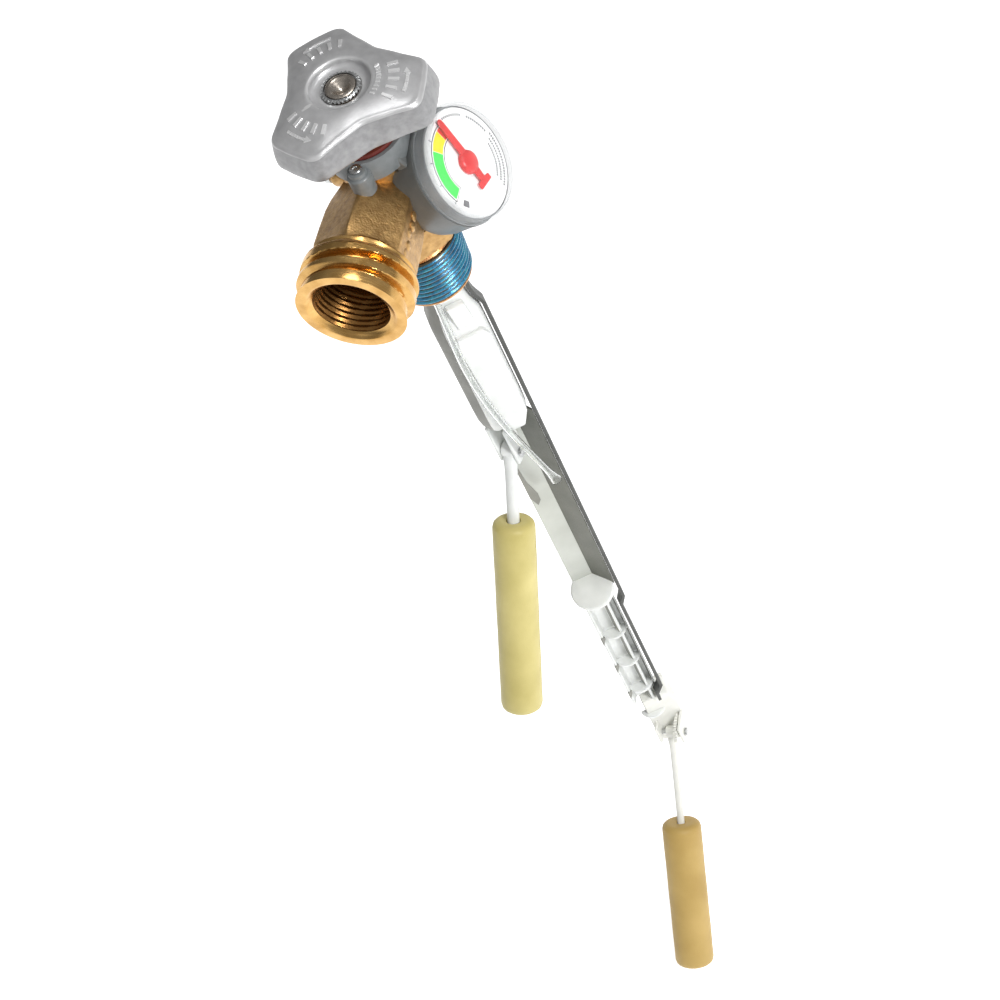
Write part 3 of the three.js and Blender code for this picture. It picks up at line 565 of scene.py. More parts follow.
def thread_sealant():
    """Coated inlet thread: a tapering row of teeth with thin grooves between them, painted dark as shade.
    """
    top, bottom = INLET["top"], INLET["bottom"]
    steps = 150
    threaded = 1                 # stands for the thread's radius, which depends on height and angle
    profile = [(12.15, top)]
    profile += [(threaded, top + (bottom - top) * k / steps) for k in range(steps + 1)]
    profile += [(12.15, bottom)]

    def crest_radius(h):
        return INLET["radius"] - (top - h) * INLET["taper"]

    def radius(r, h, angle):
        if r != threaded:
            return r
        phase = (h / INLET["pitch"] - angle / TAU) % 1.0
        tooth = min(1.0, max(0.0, 1.25 - 2.7 * abs(phase - 0.5)))
        ends = max(0.0, min(1.0, (top - h) / 1.0, (h - bottom) / 0.8))
        drip = 0.05 * math.sin(5 * angle + 1.3 * h) * math.sin(3 * angle - 0.7 * h)
        return max(12.2, crest_radius(h) - INLET["depth"] * (1 - tooth * ends) + drip * tooth * ends)

    def in_groove(face, spot):
        return math.hypot(spot.x, spot.y) < crest_radius(spot.z) - 0.52

    coat = lathe("thread_sealant_coat", profile, SEALANT, "valve", None, 160, ("thread_sealant",),
                 radius=radius, smooth=60)
    # The roots of the thread get the painted shade.
    second_finish(coat, GROOVE_PAINTED_SHADE, in_groove)


def relief_valve():
    """Boss at the back with the hexagonal relief cap screwed into it."""
    spot = facing((0, 1, 0), (0, 0, 14))
    boss = [(6.3, 4), (9.1, 4), (9.1, 21.6), (8.6, 22.7), (8.0, 23.0), (6.6, 23.0), (6.2, 22.4),
            (6.2, 10)]
    lathe("relief_boss", boss, CAST_BRASS, "valve", spot, stands_for=("valve_body",))
    flats = hexagon(7.9)
    cap = [(1.9, 17), (5.7, 17), (5.8, 23.3), (20, 23.4), (20, 26.2), (8.5, 26.9), (7.6, 27.15),
           (2.6, 27.15), (1.9, 26.4)]
    lathe("relief_cap", cap, TURNED_BRASS, "valve", spot, 96, ("relief_plug",),
          radius=lambda r, h, angle: min(flats(angle), r) if h > 23.35 and r > 6 else r, smooth=28)


def bleeder():
    """Small boss at the left with the vent screw in it."""
    spot = facing((-1, 0, 0), (0, 0, 27))
    boss = [(2.4, 6), (4.3, 6), (4.3, 13.6), (3.9, 14.3), (3.4, 14.5), (2.7, 14.5), (2.3, 14.1)]
    lathe("bleeder_boss", boss, CAST_BRASS, "valve", spot, 64, ("valve_body",))
    screw = [(0.01, 9), (1.9, 9), (1.95, 14.8), (3.0, 14.85), (3.3, 15.2), (3.3, 16.7), (2.9, 17.2),
             (0.9, 17.25), (0.75, 16.4), (0.01, 16.3)]
    lathe("bleeder_head", screw, SMALL_STEEL, "bleeder", spot, 64, ("bleeder_screw",))


# ---- bonnet, spindle and handwheel

def bonnet():
    flats = hexagon(9.5, 10)
    nut = [(4.4, 37.6), (7.9, 37.6), (8.0, 45.5), (20, 45.7), (20, 49.0), (10.4, 49.7), (9.3, 50.1),
           (5.2, 50.1), (4.5, 49.5)]
    lathe("bonnet_nut", nut, TURNED_BRASS, "valve", None, 96, ("packing_nut",),
          radius=lambda r, h, angle: min(flats(angle), r) if h > 45.6 and r > 8.5 else r, smooth=28)
    washer = [(8.4, 43.95), (10.8, 43.95), (10.9, 44.6), (10.8, 45.25), (8.4, 45.25)]
    lathe("fibre_washer", washer, RED_FIBRE, "valve", stands_for=("bonnet_washer",))


def spindle_head():
    profile = [(AXIS, 19.8), (2.4, 19.8), (2.4, 29), (5.6, 29), (5.6, 31), (4.0, 31), (4.0, 52.4),
               (4.55, 53), (4.55, 61.9), (4.35, 62.35), (3.9, 62.55), (3.3, 62.55), (2.7, 62.2),
               (1.2, 60.9), (AXIS, 60.3)]
    lathe("spindle_turned", profile, SPINDLE_BRASS, "wheel", None, 72, ("spindle",),
          smooth=30)


def spline_ring():
    teeth, tooth_share, tooth_depth = 30, 0.55, 0.42

    def radius(r, h, angle):
        if r < 5.2 or (angle * teeth / TAU) % 1.0 < tooth_share:
            return r
        return r - tooth_depth

    profile = [(4.75, 61.75), (5.75, 61.75), (5.75, 62.2), (5.35, 62.42), (4.75, 62.42)]
    lathe("spline_washer", profile, SMALL_STEEL, "wheel", None, 240, ("spline_ring",), radius=radius,
          smooth=20)


# radius of the handwheel's skirt at angles from the middle of a lobe to the middle of a hollow
WHEEL_KNOTS = [(0, 24.8), (8, 24.9), (14, 25.2), (18, 25.1), (22, 24.4), (27, 22.4), (33, 20.5),
               (40, 19.1), (50, 17.7), (60, 17.1)]
RECESS = 9.6                 # radius where the wheel's top turns down round the spindle
ROUNDING = 2.6               # width of the rounded edge of the wheel's top


def wheel_reach(angle):
    """Radius of the handwheel's skirt: a smooth curve through the knots, mirrored in each lobe."""
    phase = math.degrees(angle) - WHEEL["turn"]
    off = abs((phase + 60) % 120 - 60)
    last = len(WHEEL_KNOTS) - 1
    for index in range(last):
        (a0, r0), (a1, r1) = WHEEL_KNOTS[index:index + 2]
        if off <= a1:
            before = WHEEL_KNOTS[index - 1] if index else (-a1, r1)
            after = WHEEL_KNOTS[index + 2] if index + 2 <= last else (2 * 60 - a0, r0)
            span = a1 - a0
            t = (off - a0) / span
            m0 = (r1 - before[1]) / (a1 - before[0]) * span
            m1 = (after[1] - r0) / (after[0] - a0) * span
            return ((2 * t ** 3 - 3 * t * t + 1) * r0 + (t ** 3 - 2 * t * t + t) * m0
                    + (3 * t * t - 2 * t ** 3) * r1 + (t ** 3 - t * t) * m1)
    return WHEEL_KNOTS[-1][1]


def wheel_top(reach, radius):
    """Height of the domed top face at a radius, where reach is the skirt radius there."""
    edge = 62.6 - (reach - 15) * 0.15
    t = min(1.0, max(0.0, (reach - ROUNDING - radius) / (reach - ROUNDING - RECESS)))
    return edge + (WHEEL["top"] - edge) * (1 - (1 - t) ** 1.7)


def handwheel():
    """Hollow die-cast wheel: skirt, rounded edge, domed top, recess, hub and underside, ring by ring."""
    around = 240
    top, rim = WHEEL["top"], WHEEL["rim"]
    reaches = [wheel_reach(TAU * k / around) for k in range(around)]
    verts = []

    def ring(function):
        for k, reach in enumerate(reaches):
            angle = TAU * k / around
            r, h = function(reach)
            verts.append((r * math.cos(angle), r * math.sin(angle), h))

    def edge_height(reach):
        return wheel_top(reach, reach - ROUNDING) - 1.8

    for outset, lift in ((-0.6, 0.15), (-0.15, 0), (0.1, 0.2), (0.15, 0.7)):
        ring(lambda reach: (reach + outset, rim + lift))
    for t in (0.25, 0.5, 0.75, 1.0):
        ring(lambda reach: (reach + 0.15 - 1.1 * t ** 1.5,
                            rim + 0.7 + (edge_height(reach) - rim - 0.7) * t))
    for turn in (22, 44, 62, 80):
        a = math.radians(turn)
        ring(lambda reach: (reach - 0.95 - 1.65 * (1 - math.cos(a)),
                            edge_height(reach) + 1.8 * math.sin(a)))
    for k in range(13):
        t = k / 12

        def dome(reach):
            radius = (reach - ROUNDING) * (1 - t) + RECESS * t
            return radius, wheel_top(reach, radius)
        ring(dome)
    for r, h in ((9.25, top - 0.08), (9.0, top - 0.35), (8.8, top - 1.2), (8.5, top - 1.9),
                 (8.0, top - 2.15), (7.0, top - 2.25), (5.95, top - 2.3), (5.9, top - 2.9),
                 (5.0, top - 3.0), (4.95, rim + 1.0), (5.3, rim + 0.6), (6.3, rim + 0.6),
                 (6.6, rim + 1.0), (6.7, rim + 6.0), (7.4, rim + 7.2)):
        ring(lambda reach: (r, h))
    for inset, lift in ((5.4, 7.4), (3.2, 6.2), (1.9, 1.0)):
        ring(lambda reach: (reach - inset, rim + lift))
    shell = place("handwheel_shell", verts, tube_faces(len(verts) // around, around), WHEEL_PAINT,
                  "wheel", ("handwheel",), 50)
    # Faces out on the skirt that look sideways or down get the painted shade.
    second_finish(shell, WHEEL_SKIRT_PAINTED_SHADE,
                  lambda face, spot: face.normal.z < 0.3 and math.hypot(spot.x, spot.y) > 12)


def raised_mark(name, outline):
    """A flat mark moulded on the wheel's top, laid over its dome; outline is a list of (x, y)."""
    sunk, shoulder, crown = -0.3, 0.35 * 0.6, 0.35
    chamfer = 0.12
    cx = sum(p[0] for p in outline) / len(outline)
    cy = sum(p[1] for p in outline) / len(outline)
    verts = []
    for lift, shrink in ((sunk, 0.0), (shoulder, 0.0), (crown, chamfer)):
        for x, y in outline:
            reach = math.hypot(x - cx, y - cy) or 1
            px = x - (x - cx) / reach * shrink
            py = y - (y - cy) / reach * shrink
            angle = math.atan2(y, x)
            verts.append((px, py, wheel_top(wheel_reach(angle), math.hypot(px, py)) + lift))
    place(name, verts, tube_faces(3, len(outline), False), WHEEL_PAINT, "wheel", smooth=40)


def polar(radius, degrees):
    angle = math.radians(degrees + WHEEL["turn"])
    return (radius * math.cos(angle), radius * math.sin(angle))


def bar(inner, outer, degrees, wide, slant=0.0):
    """Short mark that runs outwards between two radii."""
    half = math.degrees(wide / 2 / ((inner + outer) / 2))
    return [polar(inner, degrees - half), polar(outer, degrees - half + slant),
            polar(outer, degrees + half + slant), polar(inner, degrees + half)]


def wheel_marks():
    """Plain tally marks and one turn arrow on each lobe, and a row of dashes; no lettering."""
    bars, arc_steps, dashes = 5, 8, 9
    for lobe in range(3):
        middle = 120 * lobe
        for step in range(bars):
            mark = bar(13.9, 17.0, middle - 22 + 11 * step, 1.0)
            raised_mark("wheel_bar_%d" % (lobe * bars + step), mark)
        arc = [polar(18.6, middle - 13 + 2.5 * s) for s in range(arc_steps + 1)]
        back = [polar(19.5, middle - 13 + 2.5 * s) for s in range(arc_steps + 1)]
        for s in range(arc_steps):
            raised_mark("wheel_arc_%d_%d" % (lobe, s), [arc[s], back[s], back[s + 1], arc[s + 1]])
        tip = [polar(17.9, middle + 7), polar(19.9, middle + 7), polar(18.9, middle + 13)]
        raised_mark("wheel_tip_%d" % lobe, tip)
    for step in range(dashes):
        raised_mark("wheel_dash_%d" % step, bar(10.6, 12.0, -26 + 6.5 * step, 0.55, 1.2))


# ---- gauge

AZIMUTH, ELEVATION = math.radians(GAUGE["azimuth"]), math.radians(GAUGE["elevation"])
GAUGE_NORMAL = Vector((math.cos(ELEVATION) * math.cos(AZIMUTH), math.cos(ELEVATION) * math.sin(AZIMUTH),
                       math.sin(ELEVATION)))
GAUGE_FRAME = facing(GAUGE_NORMAL, GAUGE["centre"])
DIAL_FACE = 3.82             # height of the dial's surface above the gauge's centre
PRINT_ROOT = 3.7             # printed marks start just below that surface


def gauge_can():
    """Round case, with its back held clear of the bore that the seat plug rises in."""
    r, back = GAUGE["radius"], GAUGE["back"]
    profile = [(AXIS, -back), (r - 4.2, -back), (r - 2.4, -back + 0.8), (r - 1.0, -back + 2.6),
               (r - 0.5, -back + 5), (r - 0.35, -1.2), (r - 0.15, -0.5), (r - 0.2, 0.0), (r - 1.2, 0.0),
               (r - 1.6, -0.4), (r - 1.7, -1.3), (AXIS, -1.4)]
    can = lathe("gauge_can", profile, GREY_PLASTIC, "valve", GAUGE_FRAME, 128, ("gauge_case",))
    clear = 9.0
    for vertex in can.data.vertices:
        reach = math.hypot(vertex.co.x, vertex.co.y) / MM
        if reach < clear:
            vertex.co.x *= clear / reach
            vertex.co.y *= clear / reach


def gauge_clamp():
    """Collar round the bonnet, the arm that carries the gauge, and the boss with its screw."""
    collar = [(10.2, 36.2), (12.0, 36.2), (12.3, 36.5), (12.3, 43.4), (12.0, 43.9), (10.9, 43.9),
              (10.2, 43.4)]
    lathe("gauge_collar", collar, CLAMP_PLASTIC, "valve", stands_for=("gauge_case",))
    arm = [(8.5, 34.0), (13.4, 34.0), (10.9, 38.6), (10.0, 42.2), (8.5, 42.3)]
    prism("gauge_arm", arm, -6.6, 8.6, GREY_PLASTIC, "valve", None, ("gauge_case",), 0.6, "xz")
    spot = Matrix.Translation((1.0, -13.2, 0))
    boss = [(AXIS, 34.4), (3.0, 34.4), (3.35, 34.8), (3.4, 41.2), (3.1, 41.6), (2.7, 41.75), (2.65, 43.0),
            (2.3, 43.2), (1.4, 43.2), (1.3, 42.0), (AXIS, 41.9)]
    lathe("clamp_boss", boss, CLAMP_PLASTIC, "valve", spot, 64, ("gauge_case",))
    screw = [(AXIS, 38.5), (1.0, 38.5), (1.05, 43.3), (1.8, 43.4), (1.85, 43.7), (1.5, 44.0),
             (0.7, 44.05), (0.5, 43.7), (AXIS, 43.65)]
    lathe("clamp_screw", screw, SMALL_STEEL, "valve", spot, 48, ("gauge_clamp_screw",))


def gauge_lens():
    """Clear cap with a thicker-looking rim, and the seal ring under it."""
    r = GAUGE["radius"]
    profile = [(AXIS, 6.7), (r - 2.6, 6.65), (r - 1.5, 6.5), (r - 0.7, 6.05), (r - 0.2, 5.4), (r, 4.6),
               (r, 1.3), (r - 0.35, 1.1), (r - 0.35, 0.35), (r - 1.0, 0.35), (r - 1.05, 4.8),
               (r - 1.35, 5.6), (r - 2.0, 6.0), (AXIS, 6.1)]
    crystal = lathe("gauge_crystal", profile, LENS_CLEAR, "valve", GAUGE_FRAME, 128, ("gauge_lens",))
    centre = Vector(GAUGE["centre"])

    def on_rim(face, spot):
        offset = spot - centre
        return (offset - GAUGE_NORMAL * offset.dot(GAUGE_NORMAL)).length > r - 1.9

    second_finish(crystal, LENS_RIM, on_rim)
    seal = [(16.1, 0.15), (16.45, 0.15), (16.45, 3.6), (16.1, 3.6)]
    lathe("gauge_seal_ring", seal, PRINT_GREY, "valve", GAUGE_FRAME, 128)


def dial_point(radius, clockwise, height):
    angle = math.radians(90 - clockwise)
    return (radius * math.cos(angle), radius * math.sin(angle), height)


def dial_arc(name, inner, outer, start, end, lift, material):
    """Printed arc; start and end are clockwise degrees, and lift is above the dial's face."""
    low, high = PRINT_ROOT, DIAL_FACE + lift
    steps = max(3, int(abs(end - start) / 3))
    verts = []
    for s in range(steps + 1):
        turn = start + (end - start) * s / steps
        verts += [dial_point(inner, turn, low), dial_point(outer, turn, low),
                  dial_point(outer, turn, high), dial_point(inner, turn, high)]
    place(name, verts, tube_faces(steps + 1, 4, False), material, "valve", smooth=30,
          matrix=GAUGE_FRAME)


def dial():
    """Dial plate with its level band, ticks, badge and grey dashes where words would stand."""
    disc = [(1.4, 0.5), (16.0, 0.5), (16.0, 3.7), (15.9, 3.8), (1.5, 3.8), (1.4, 3.7)]
    lathe("dial_disc", disc, DIAL_WHITE, "valve", GAUGE_FRAME, 128, ("dial_plate",))
    outer, inner = 12.85, 9.1
    dial_arc("band_outline", inner - 0.62, outer + 0.62, 22.0, -93.0, 0.02, PRINT_DARK)
    dial_arc("band_gap", inner - 0.34, outer + 0.34, 21.0, -92.0, 0.05, DIAL_WHITE)
    dial_arc("band_low", inner, outer, 19.5, 9, 0.08, BAND_RED)
    dial_arc("band_middle", inner, outer, 8.4, -20.6, 0.08, BAND_YELLOW)
    dial_arc("band_full", inner, outer, -21.4, -90.6, 0.08, BAND_GREEN)
    for index in range(5):
        turn = 17 - 27 * index
        dial_arc("dial_tick_%d" % index, outer + 0.7, outer + 1.7, turn - 0.5, turn + 0.5, 0.03,
                 PRINT_DARK)
    dial_arc("dial_badge", 11.5, 13.4, -103, -113, 0.03, PRINT_GREY)
    pitch, dash, half_width = 3.2, 1.9, 0.36
    rows = ((13.9, 28, 62), (13.9, 70, 104), (13.3, 112, 168), (14.7, 108, 172), (11.9, 116, 164))
    for index, (radius, start, end) in enumerate(rows):
        steps = int((end - start) / pitch)
        for s in range(steps):
            turn = start + (end - start) * s / steps
            dial_arc("dial_dash_%d_%d" % (index, s), radius - half_width, radius + half_width, turn,
                     turn + dash, 0.02, PRINT_GREY)


def needle():
    """Red pointer at rest on the empty end of the band, with a crossbar tail and a domed hub."""
    turn = GAUGE_FRAME @ Matrix.Rotation(-math.radians(17), 4, "Z")
    low, high = 4.7, 5.3
    half = [(1.1, -6.5), (1.4, 0), (1.2, 7), (1.0, 13.2), (0.85, 14.2), (0.4, 14.8)]
    mirrored = [(-x, y) for x, y in reversed(half)]
    blade = mirrored[-1:] + half + mirrored[:-1]
    prism("needle_blade", blade, low, high, NEEDLE_RED, "pointer", turn, ("needle",), 0.15)
    tail = [(-2.9, -8.1), (2.9, -8.1), (2.9, -6.3), (1.05, -6.1), (-1.05, -6.1), (-2.9, -6.3)]
    prism("needle_tail", tail, low, high, NEEDLE_RED, "pointer", turn, (), 0.15)
    hub = [(AXIS, 4.1), (3.5, 4.1), (3.55, 4.6), (3.3, 5.2), (2.6, 5.65), (1.4, 5.9), (AXIS, 5.95)]
    lathe("needle_hub", hub, NEEDLE_RED, "pointer", GAUGE_FRAME, 72, (), smooth=180)


# ---- stem hardware

STEM_LEFT = stem_frame().to_3x3() @ Vector((-1, 0, 0))


def stem_prism(name, outline, low, high, material, stands_for=(), bevel=0.2, axes="xz", spot=None):
    """Extruded piece fixed to the stem; it is drawn in the stem frame unless another spot is given."""
    return prism(name, outline, low, high, material, "valve", spot or stem_frame(), stands_for, bevel,
                 axes)


def shade_left(piece, lean):
    """The faces that look to the stem's left by more than lean are darker: painted shade."""
    second_finish(piece, PAINTED_SHADE_GREY, lambda face, spot: face.normal.dot(STEM_LEFT) > lean)


def ears(prefix, hinge, near, far, front, back, low, high, material):
    """Two cheeks that hold a float's hinge pin, one at each side of the arm."""
    spot = stem_frame(*hinge["pivot"], hinge["turn"])
    for side, label in ((-1, "left"), (1, "right")):
        x0, x1 = sorted((side * near, side * far))
        box("%s_%s" % (prefix, label), x0, x1, front, back, low, high, material, "valve", spot, (), 0.5)


def stop_block():
    """Overfill-stop block: rounded front, slanted shoulders, raised pads, pin ears and a cover behind."""
    around = 96
    outline = rounded_polygon([(-90, 7.9), (-140, 8.6), (180, 8.0), (130, 8.0), (90, 7.2), (45, 8.4),
                               (0, 9.0), (-45, 9.3)], 20)
    sections = [(0.5, -23.2), (0.68, -23.9), (0.72, -27), (0.8, -33), (0.96, -38), (1.0, -42), (1.0, -86),
                (0.985, -91.5), (0.93, -94.5), (0.82, -96.6), (0.55, -97.6)]
    verts = []
    for scale, z in sections:
        verts += ring_points(lambda angle: outline(angle) * scale, z, around)
    block = place("stop_block", verts, tube_faces(len(sections), around, False), WHITE_PLASTIC, "valve",
                  ("opd_housing",), 40, stem_frame())
    # The block's left-facing faces get painted shade.
    shade_left(block, 0.62)
    spigot = [(AXIS, -26), (8.5, -26), (8.5, -7.4), (8.1, -7.1), (4, -7.1), (AXIS, -7.2)]
    lathe("stop_spigot", spigot, WHITE_PLASTIC, "valve", stem_frame(), 72, ())
    pad = [(-2.6, -44), (6.2, -44), (8.0, -48), (8.0, -90), (5.6, -96.5), (1.2, -96.5), (-1.6, -92),
           (-3.4, -50)]
    stem_prism("stop_front_pad", pad, -9.0, -6.5, WHITE_PLASTIC, bevel=0.7)
    lip = [(-1.2, -30), (4.6, -30), (5.6, -40.5), (-0.4, -40.5)]
    stem_prism("stop_window_lip", lip, -8.3, -6.0, WHITE_PLASTIC, bevel=0.5)
    ears("stop_ear", OPD_FLOAT, 2.5, 3.8, -2.9, 2.9, -4.2, 15, WHITE_PLASTIC)
    cover = [(-4.4, -94), (6.4, -94), (6.4, -29.5), (-4.4, -29.5)]
    stem_prism("stop_cover", cover, 6.9, 8.05, WHITE_PLASTIC, ("opd_cover",), 0.3)


def dip_tube():
    """Thin clear tube that bends round the block and flares a little at its lower end."""
    route = [(-3.0, -6.3, -16), (-2.8, -6.9, -22), (-2.7, -8.2, -28), (-3.2, -9.3, -38),
             (-3.8, -9.7, -55), (-3.0, -9.9, -72), (-1.1, -10.0, -88), (1.5, -9.9, -103),
             (4.4, -9.4, -118), (6.7, -8.8, -130.8)]
    radius, wall, around = 1.15, 0.38, 20
    flare, flare_steps = 0.75, 4
    path = curve_points(route, 6)
    count = len(path)
    outer = [radius + flare * max(0.0, (i - (count - 1 - flare_steps)) / flare_steps) ** 1.5
             for i in range(count)]
    inner = [r - wall for r in outer]
    side = Vector((1, 0, 0.2))
    frames = []
    for i, point in enumerate(path):
        ahead = (path[min(i + 1, count - 1)] - path[max(i - 1, 0)]).normalized()
        side = (side - ahead * side.dot(ahead)).normalized()
        frames.append((point, side.copy(), ahead.cross(side)))
    verts = []
    for radii, order in ((outer, range(count)), (inner, reversed(range(count)))):
        for i in order:
            point, one, two = frames[i]
            for k in range(around):
                angle = TAU * k / around
                verts.append(point + radii[i] * (math.cos(angle) * one + math.sin(angle) * two))
    place("dip_tube_wall", verts, tube_faces(2 * count, around), TUBE_CLEAR, "valve", ("dip_tube",), 60,
          stem_frame())


def rail():
    """Pressed steel strip with two joggles, seen on its edge."""
    thick = 1.3
    outer = [(8.4, -22.6), (8.6, -29), (9.2, -33), (10.75, -38), (10.8, -220.7), (8.8, -225.7),
             (9.15, -291.2), (6.4, -296.2), (6.4, -301.1)]
    inner = [(x - thick, z + (0.35 if 0 < k < 5 else 0)) for k, (x, z) in enumerate(outer)]
    stem_prism("rail_edge", outer + list(reversed(inner)), -4.9, -0.6, RAIL_STEEL, ("rail_strip",), 0.25)


def channel():
    """Open channel: a flat floor, a standing wall at the right and a painted shadow at the left; floor
    and wall carry painted shade.
    """
    top, bottom = CHANNEL["top"], CHANNEL["bottom"]
    # The floor is white plastic greyed with painted shade.
    floor = [(-4.6, 2.2), (3.4, 2.2), (3.4, 3.6), (-4.6, 3.6)]
    stem_prism("channel_floor", floor, bottom, top, FLOOR_WHITE_PAINTED_SHADE, ("guide_channel",), 0.35, "xy")
    # The wall is painted dark as its shade.
    wall = [(3.0, 2.4), (9.25, -4.6), (9.4, -3.4), (6.9, 0.6), (6.8, 5.8), (3.2, 5.8), (3.0, 3.4)]
    stem_prism("channel_wall", wall, bottom, top, WALL_PAINTED_SHADE, (), 0.3, "xy")
    # A thin dark sheet on the floor: painted shadow.
    shadow_outline = [(-4.65, -128), (-3.7, -131), (-3.2, -140), (-1.4, -149), (-1.5, -153), (-3.0, -155.5),
             (-4.65, -150)]
    stem_prism("channel_painted_shadow", shadow_outline, 2.05, 2.6, PAINTED_SHADE_GREY, (), 0.1)


def flange():
    """Round disc at the channel's end, tipped a little forwards."""
    profile = [(AXIS, -1.15), (7.5, -1.15), (7.9, -0.8), (7.95, 0.6), (7.5, 1.05), (6.8, 1.15),
               (AXIS, 1.2)]
    spot = stem_frame(0.9, -3.0, CHANNEL["bottom"] + 0.1) @ Matrix.Rotation(math.radians(9), 4, "X")
    lathe("guide_flange", profile, WHITE_PLASTIC, "valve", spot, 80, ("stem_flange",))


def ladder():
    """Ribbed guide: an angled web, half-round shelves that stand out, and a painted shadow at each shelf.
    """
    left, right, top, bottom = LADDER["left"], LADDER["right"], LADDER["top"], LADDER["bottom"]
    web = [(left, -1.2), (left + 1.0, -1.6), (left + 2.2, 1.6), (2.1, 1.9), (3.0, -2.4), (4.1, -2.5),
           (4.4, 1.9), (right - 1.0, 2.0), (right - 0.6, -0.4), (right, -0.4), (right, 5.9), (3.2, 5.9),
           (3.2, 3.4), (left, 3.4)]
    # The web's left-facing faces get painted shade.
    shade_left(stem_prism("ladder_web", web, bottom, top, WHITE_PLASTIC, ("ladder_guide",), 0.3, "xy"),
               0.6)
    # A dark strip along the web's left side: painted shade.
    side = [(left - 0.02, -0.6), (left + 0.25, -1.2), (left + 0.3, 3.0), (left - 0.02, 3.0)]
    stem_prism("ladder_side_painted_shade", side, bottom + 0.4, top - 0.4, PAINTED_SHADE_GREY, (), 0.1, "xy")
    centre = (left + right) / 2
    shelf = [(centre + 0.4 + 5.1 * math.cos(math.radians(a)), 0.9 + 4.9 * math.sin(math.radians(a)))
             for a in range(180, 361, 12)]
    for index in range(LADDER["shelves"]):
        z = top - LADDER["first"] - LADDER["step"] * index
        low = z - 0.6
        stem_prism("ladder_shelf_%d" % index, shelf, low, low + 1.3, WHITE_PLASTIC, (), 0.3, "xy")
        # A thin dark sheet beside each shelf: painted shadow.
        shadow_outline = [(left - 0.1, z - 5.4), (left + 1.6, z - 1.2), (left + 1.6, z + 0.2),
                 (left - 0.1, z + 0.2)]
        if z - 5.4 > bottom:
            stem_prism("ladder_painted_shadow_%d" % index, shadow_outline, -1.75, -1.15, PAINTED_SHADE_GREY, (), 0.1)


def gear_block():
    """Bottom block with a sloping shoulder, ears for the float pin and a back cover."""
    shape = [(-1.4, -302.7), (2.0, -302.5), (6.8, -302.4), (9.6, -304.2), (11.8, -312.7), (11.9, -326.7),
             (10.2, -337.2), (6.0, -338.1), (0.6, -337.9), (-1.4, -333.7)]
    # The block's left-facing faces get painted shade.
    shade_left(stem_prism("gear_block", shape, -1.6, 7.5, CREAM_PLASTIC, ("gear_housing",), 0.6), 0.6)
    ears("gear_ear", GAUGE_FLOAT, 4.0, 5.35, -3.4, 5.5, -3.8, 8, CREAM_PLASTIC)
    box("gear_back", -0.5, 10.3, 7.9, 8.95, -337.1, -304.4, CREAM_PLASTIC, "valve", stem_frame(),
        ("gear_cover",), 0.3)


def float_and_arm(prefix, body, sizes, foam, plastic, nodes):
    """Foam float on its moulded arm; local -Z runs down the arm from the hinge."""
    arm, thick, hub = sizes["arm"], sizes["arm_radius"], sizes["hub"]
    radius, end = sizes["radius"], -sizes["arm"] - sizes["length"]
    hang = Matrix.Rotation(-math.radians(sizes["tilt"]), 4, "X")
    spot = stem_frame(*sizes["pivot"], sizes["turn"]) @ hang
    body_rows = [(radius - 0.04 * math.sin(k * 1.7), end + 2.4 + (sizes["length"] - 5) * k / 12)
                 for k in range(1, 12)]
    rows = [(AXIS, end), (radius - 2.6, end), (radius - 1.2, end + 0.25), (radius - 0.35, end + 1.0),
            (radius, end + 2.4)] + body_rows
    rows += [(radius, -arm - 2.4), (radius - 0.3, -arm - 1.2), (radius - 1.0, -arm - 0.45),
             (radius - 2.2, -arm - 0.05), (radius - 3.2, -arm), (thick + 0.4, -arm - 0.15),
             (thick + 0.28, -arm - 1.0), (thick + 0.28, -arm - 12.4), (AXIS, -arm - 12.4)]
    lathe(prefix + "_foam", rows, foam, body, spot, 88, (nodes[0],), smooth=50)
    stick = [(AXIS, -arm - 11.8), (thick * 0.94, -arm - 11.8), (thick * 0.97, -arm), (thick, -8),
             (thick + 0.15, -5.5), (hub - 0.5, -3.2), (hub - 0.7, -1.5), (hub - 0.9, 0), (AXIS, 0.2)]
    lathe(prefix + "_stick", stick, plastic, body, spot, 48, (nodes[1],), smooth=50)
    eye = [(1.1, -2.15), (hub - 0.3, -2.15), (hub - 0.05, -1.9), (hub - 0.05, 1.9), (hub - 0.3, 2.15),
           (1.1, 2.15)]
    lathe(prefix + "_hub", eye, plastic, body, spot @ Matrix.Rotation(math.pi / 2, 4, "Y"), 48)


def floats():
    float_and_arm("upper_float", "opd_swing", OPD_FLOAT, UPPER_FOAM, WHITE_PLASTIC,
                  ("opd_float", "opd_float_arm"))
    float_and_arm("lower_float", "gauge_swing", GAUGE_FLOAT, LOWER_FOAM, CREAM_PLASTIC,
                  ("gauge_float", "gauge_float_arm"))


# ---- carried-over CAD nodes

REPAINTED = (
    (RUBBER, ("gland_packing", "seat_disc")),
    (TURNED_BRASS, ("packing_follower", "seat_plug", "check_retainer", "check_guide", "check_poppet",
                    "relief_disc")),
    (SMALL_STEEL, ("check_spring", "relief_spring", "opd_pivot_pin", "gauge_pivot_pin", "drive_shaft")),
    (CREAM_PLASTIC, ("opd_piston", "gauge_sector", "drive_pinion")),
    (MAGNET, ("drive_magnet", "gauge_magnet")),
)


# ---- studio (metres)

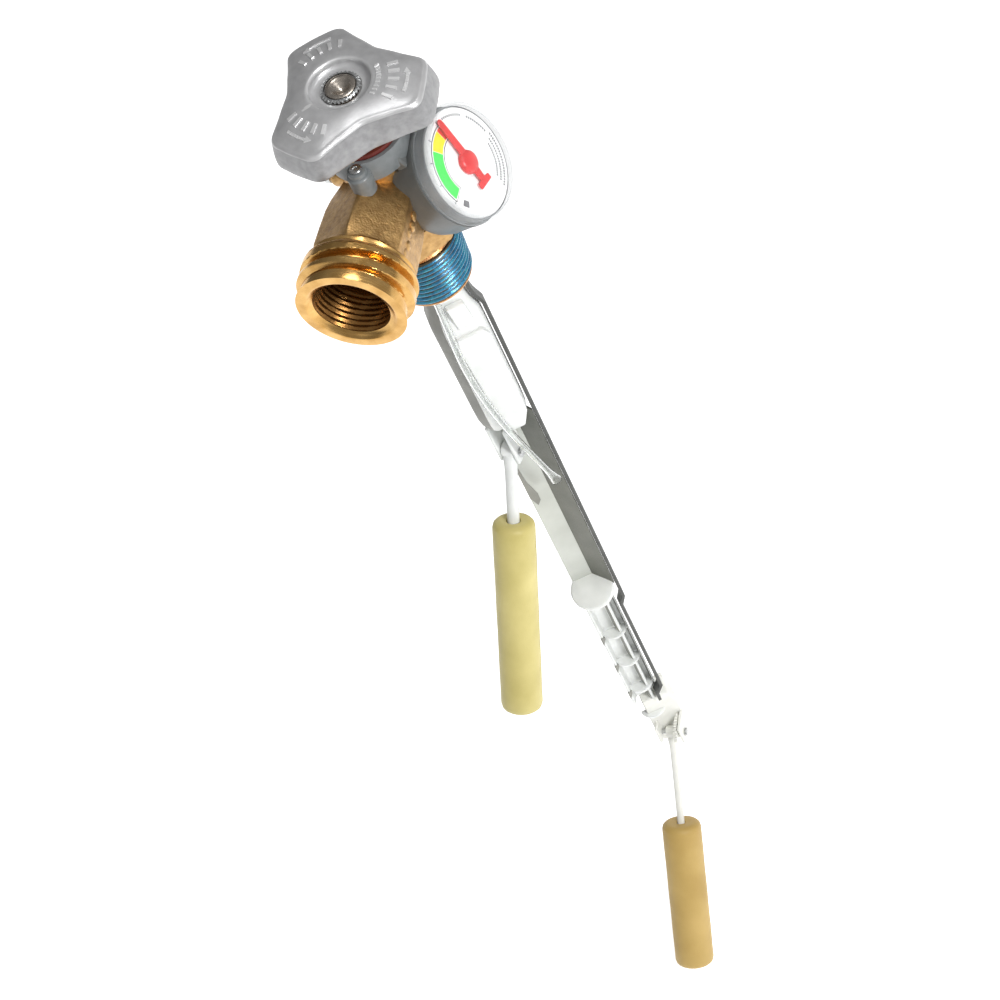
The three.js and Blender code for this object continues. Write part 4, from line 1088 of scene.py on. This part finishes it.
def pale_floor():
    z = cad_bounds[0][2] - 0.004
    half = 4
    material = finish_material("floor", (0.88, 0.88, 0.88), (0.9, 0.9, 0.9), (0.8, 0.9), 0.0, 2, 60, 0.01)
    glow = principled(material)
    glow.inputs["Emission Color"].default_value = (1, 1, 1, 1)
    glow.inputs["Emission Strength"].default_value = 0.75
    mesh = bpy.data.meshes.new("floor")
    corners = [(-half, -half, z), (half, -half, z), (half, half, z), (-half, half, z)]
    mesh.from_pydata(corners, [], [(0, 1, 2, 3)])
    mesh.materials.append(material)
    floor = bpy.data.objects.new("floor", mesh)
    bpy.context.collection.objects.link(floor)


def soft_world():
    """Studio surround: bright on the light's side, grey on the far side, so that metal shows its form."""
    world = bpy.data.worlds.new("soft_light")
    world.use_nodes = True
    tree = world.node_tree
    coords = tree.nodes.new("ShaderNodeTexCoord")
    towards = tree.nodes.new("ShaderNodeVectorMath")
    towards.operation = "DOT_PRODUCT"
    towards.inputs[1].default_value = (0.70, -0.30, 0.65)
    stops = [(0.0, 0.38), (0.35, 0.46), (0.55, 0.70), (0.8, 0.95), (1.0, 1.0)]
    spread = tree.nodes.new("ShaderNodeMapRange")
    spread.inputs["From Min"].default_value = -1
    tree.links.new(coords.outputs["Generated"], towards.inputs[0])
    tree.links.new(towards.outputs["Value"], spread.inputs["Value"])
    colour = add_ramp(world, spread.outputs["Result"], [(at, (grey, grey, grey)) for at, grey in stops])
    tree.links.new(colour, tree.nodes["Background"].inputs["Color"])
    tree.nodes["Background"].inputs["Strength"].default_value = 0.42
    bpy.context.scene.world = world


def soft_lights():
    """Three square lamps aimed at the valve: key at the right, weak fill in front, one overhead."""
    aim = Vector((0.0, 0.0, -0.05))
    lamps = (("key", (0.85, -0.42, 0.72), 0.25, 10), ("fill", (-0.5, -1.0, 0.7), 0.8, 0.7),
             ("top", (0.25, 0.15, 1.2), 0.5, 5.0))
    for name, spot, size, power in lamps:
        light = bpy.data.lights.new(name, "AREA")
        light.size = size
        light.energy = power
        lamp = bpy.data.objects.new(name, light)
        lamp.location = spot
        lamp.rotation_euler = (aim - Vector(spot)).to_track_quat("-Z", "Y").to_euler()
        bpy.context.collection.objects.link(lamp)


def camera():
    """Camera that looks down on the outlet from the front right; its axes are in the part's frame."""
    lens = bpy.data.cameras.new("camera")
    lens.sensor_width = 36
    lens.lens = 82.82
    lens.clip_start = 0.01
    eye = bpy.data.objects.new("camera", lens)
    right = Vector((0.942984, 0.188518, -0.274305))
    up = Vector((-0.019427, 0.853904, 0.520068))
    back = Vector((0.332272, -0.485087, 0.808880))
    turn = Matrix((right, up, back)).transposed().to_4x4()
    eye.matrix_world = Matrix.Translation((0.248087, -0.386679, 0.492771)) @ turn
    bpy.context.collection.objects.link(eye)
    bpy.context.scene.camera = eye


# ---- the whole scene

for build in (outlet_barrel, outlet_neck, cast_bumps, barrel, wrench_hexagon, inlet_core, thread_sealant,
              relief_valve, bleeder, bonnet, spindle_head, spline_ring, handwheel, wheel_marks, gauge_can,
              gauge_clamp, gauge_lens, dial, needle, stop_block, dip_tube, rail, channel, flange, ladder,
              gear_block, floats):
    build()
for finish, node_names in REPAINTED:
    for node_name in node_names:
        repaint(node_name, finish)
pale_floor()
soft_world()
bpy.context.scene.view_settings.view_transform = "Standard"
soft_lights()
camera()
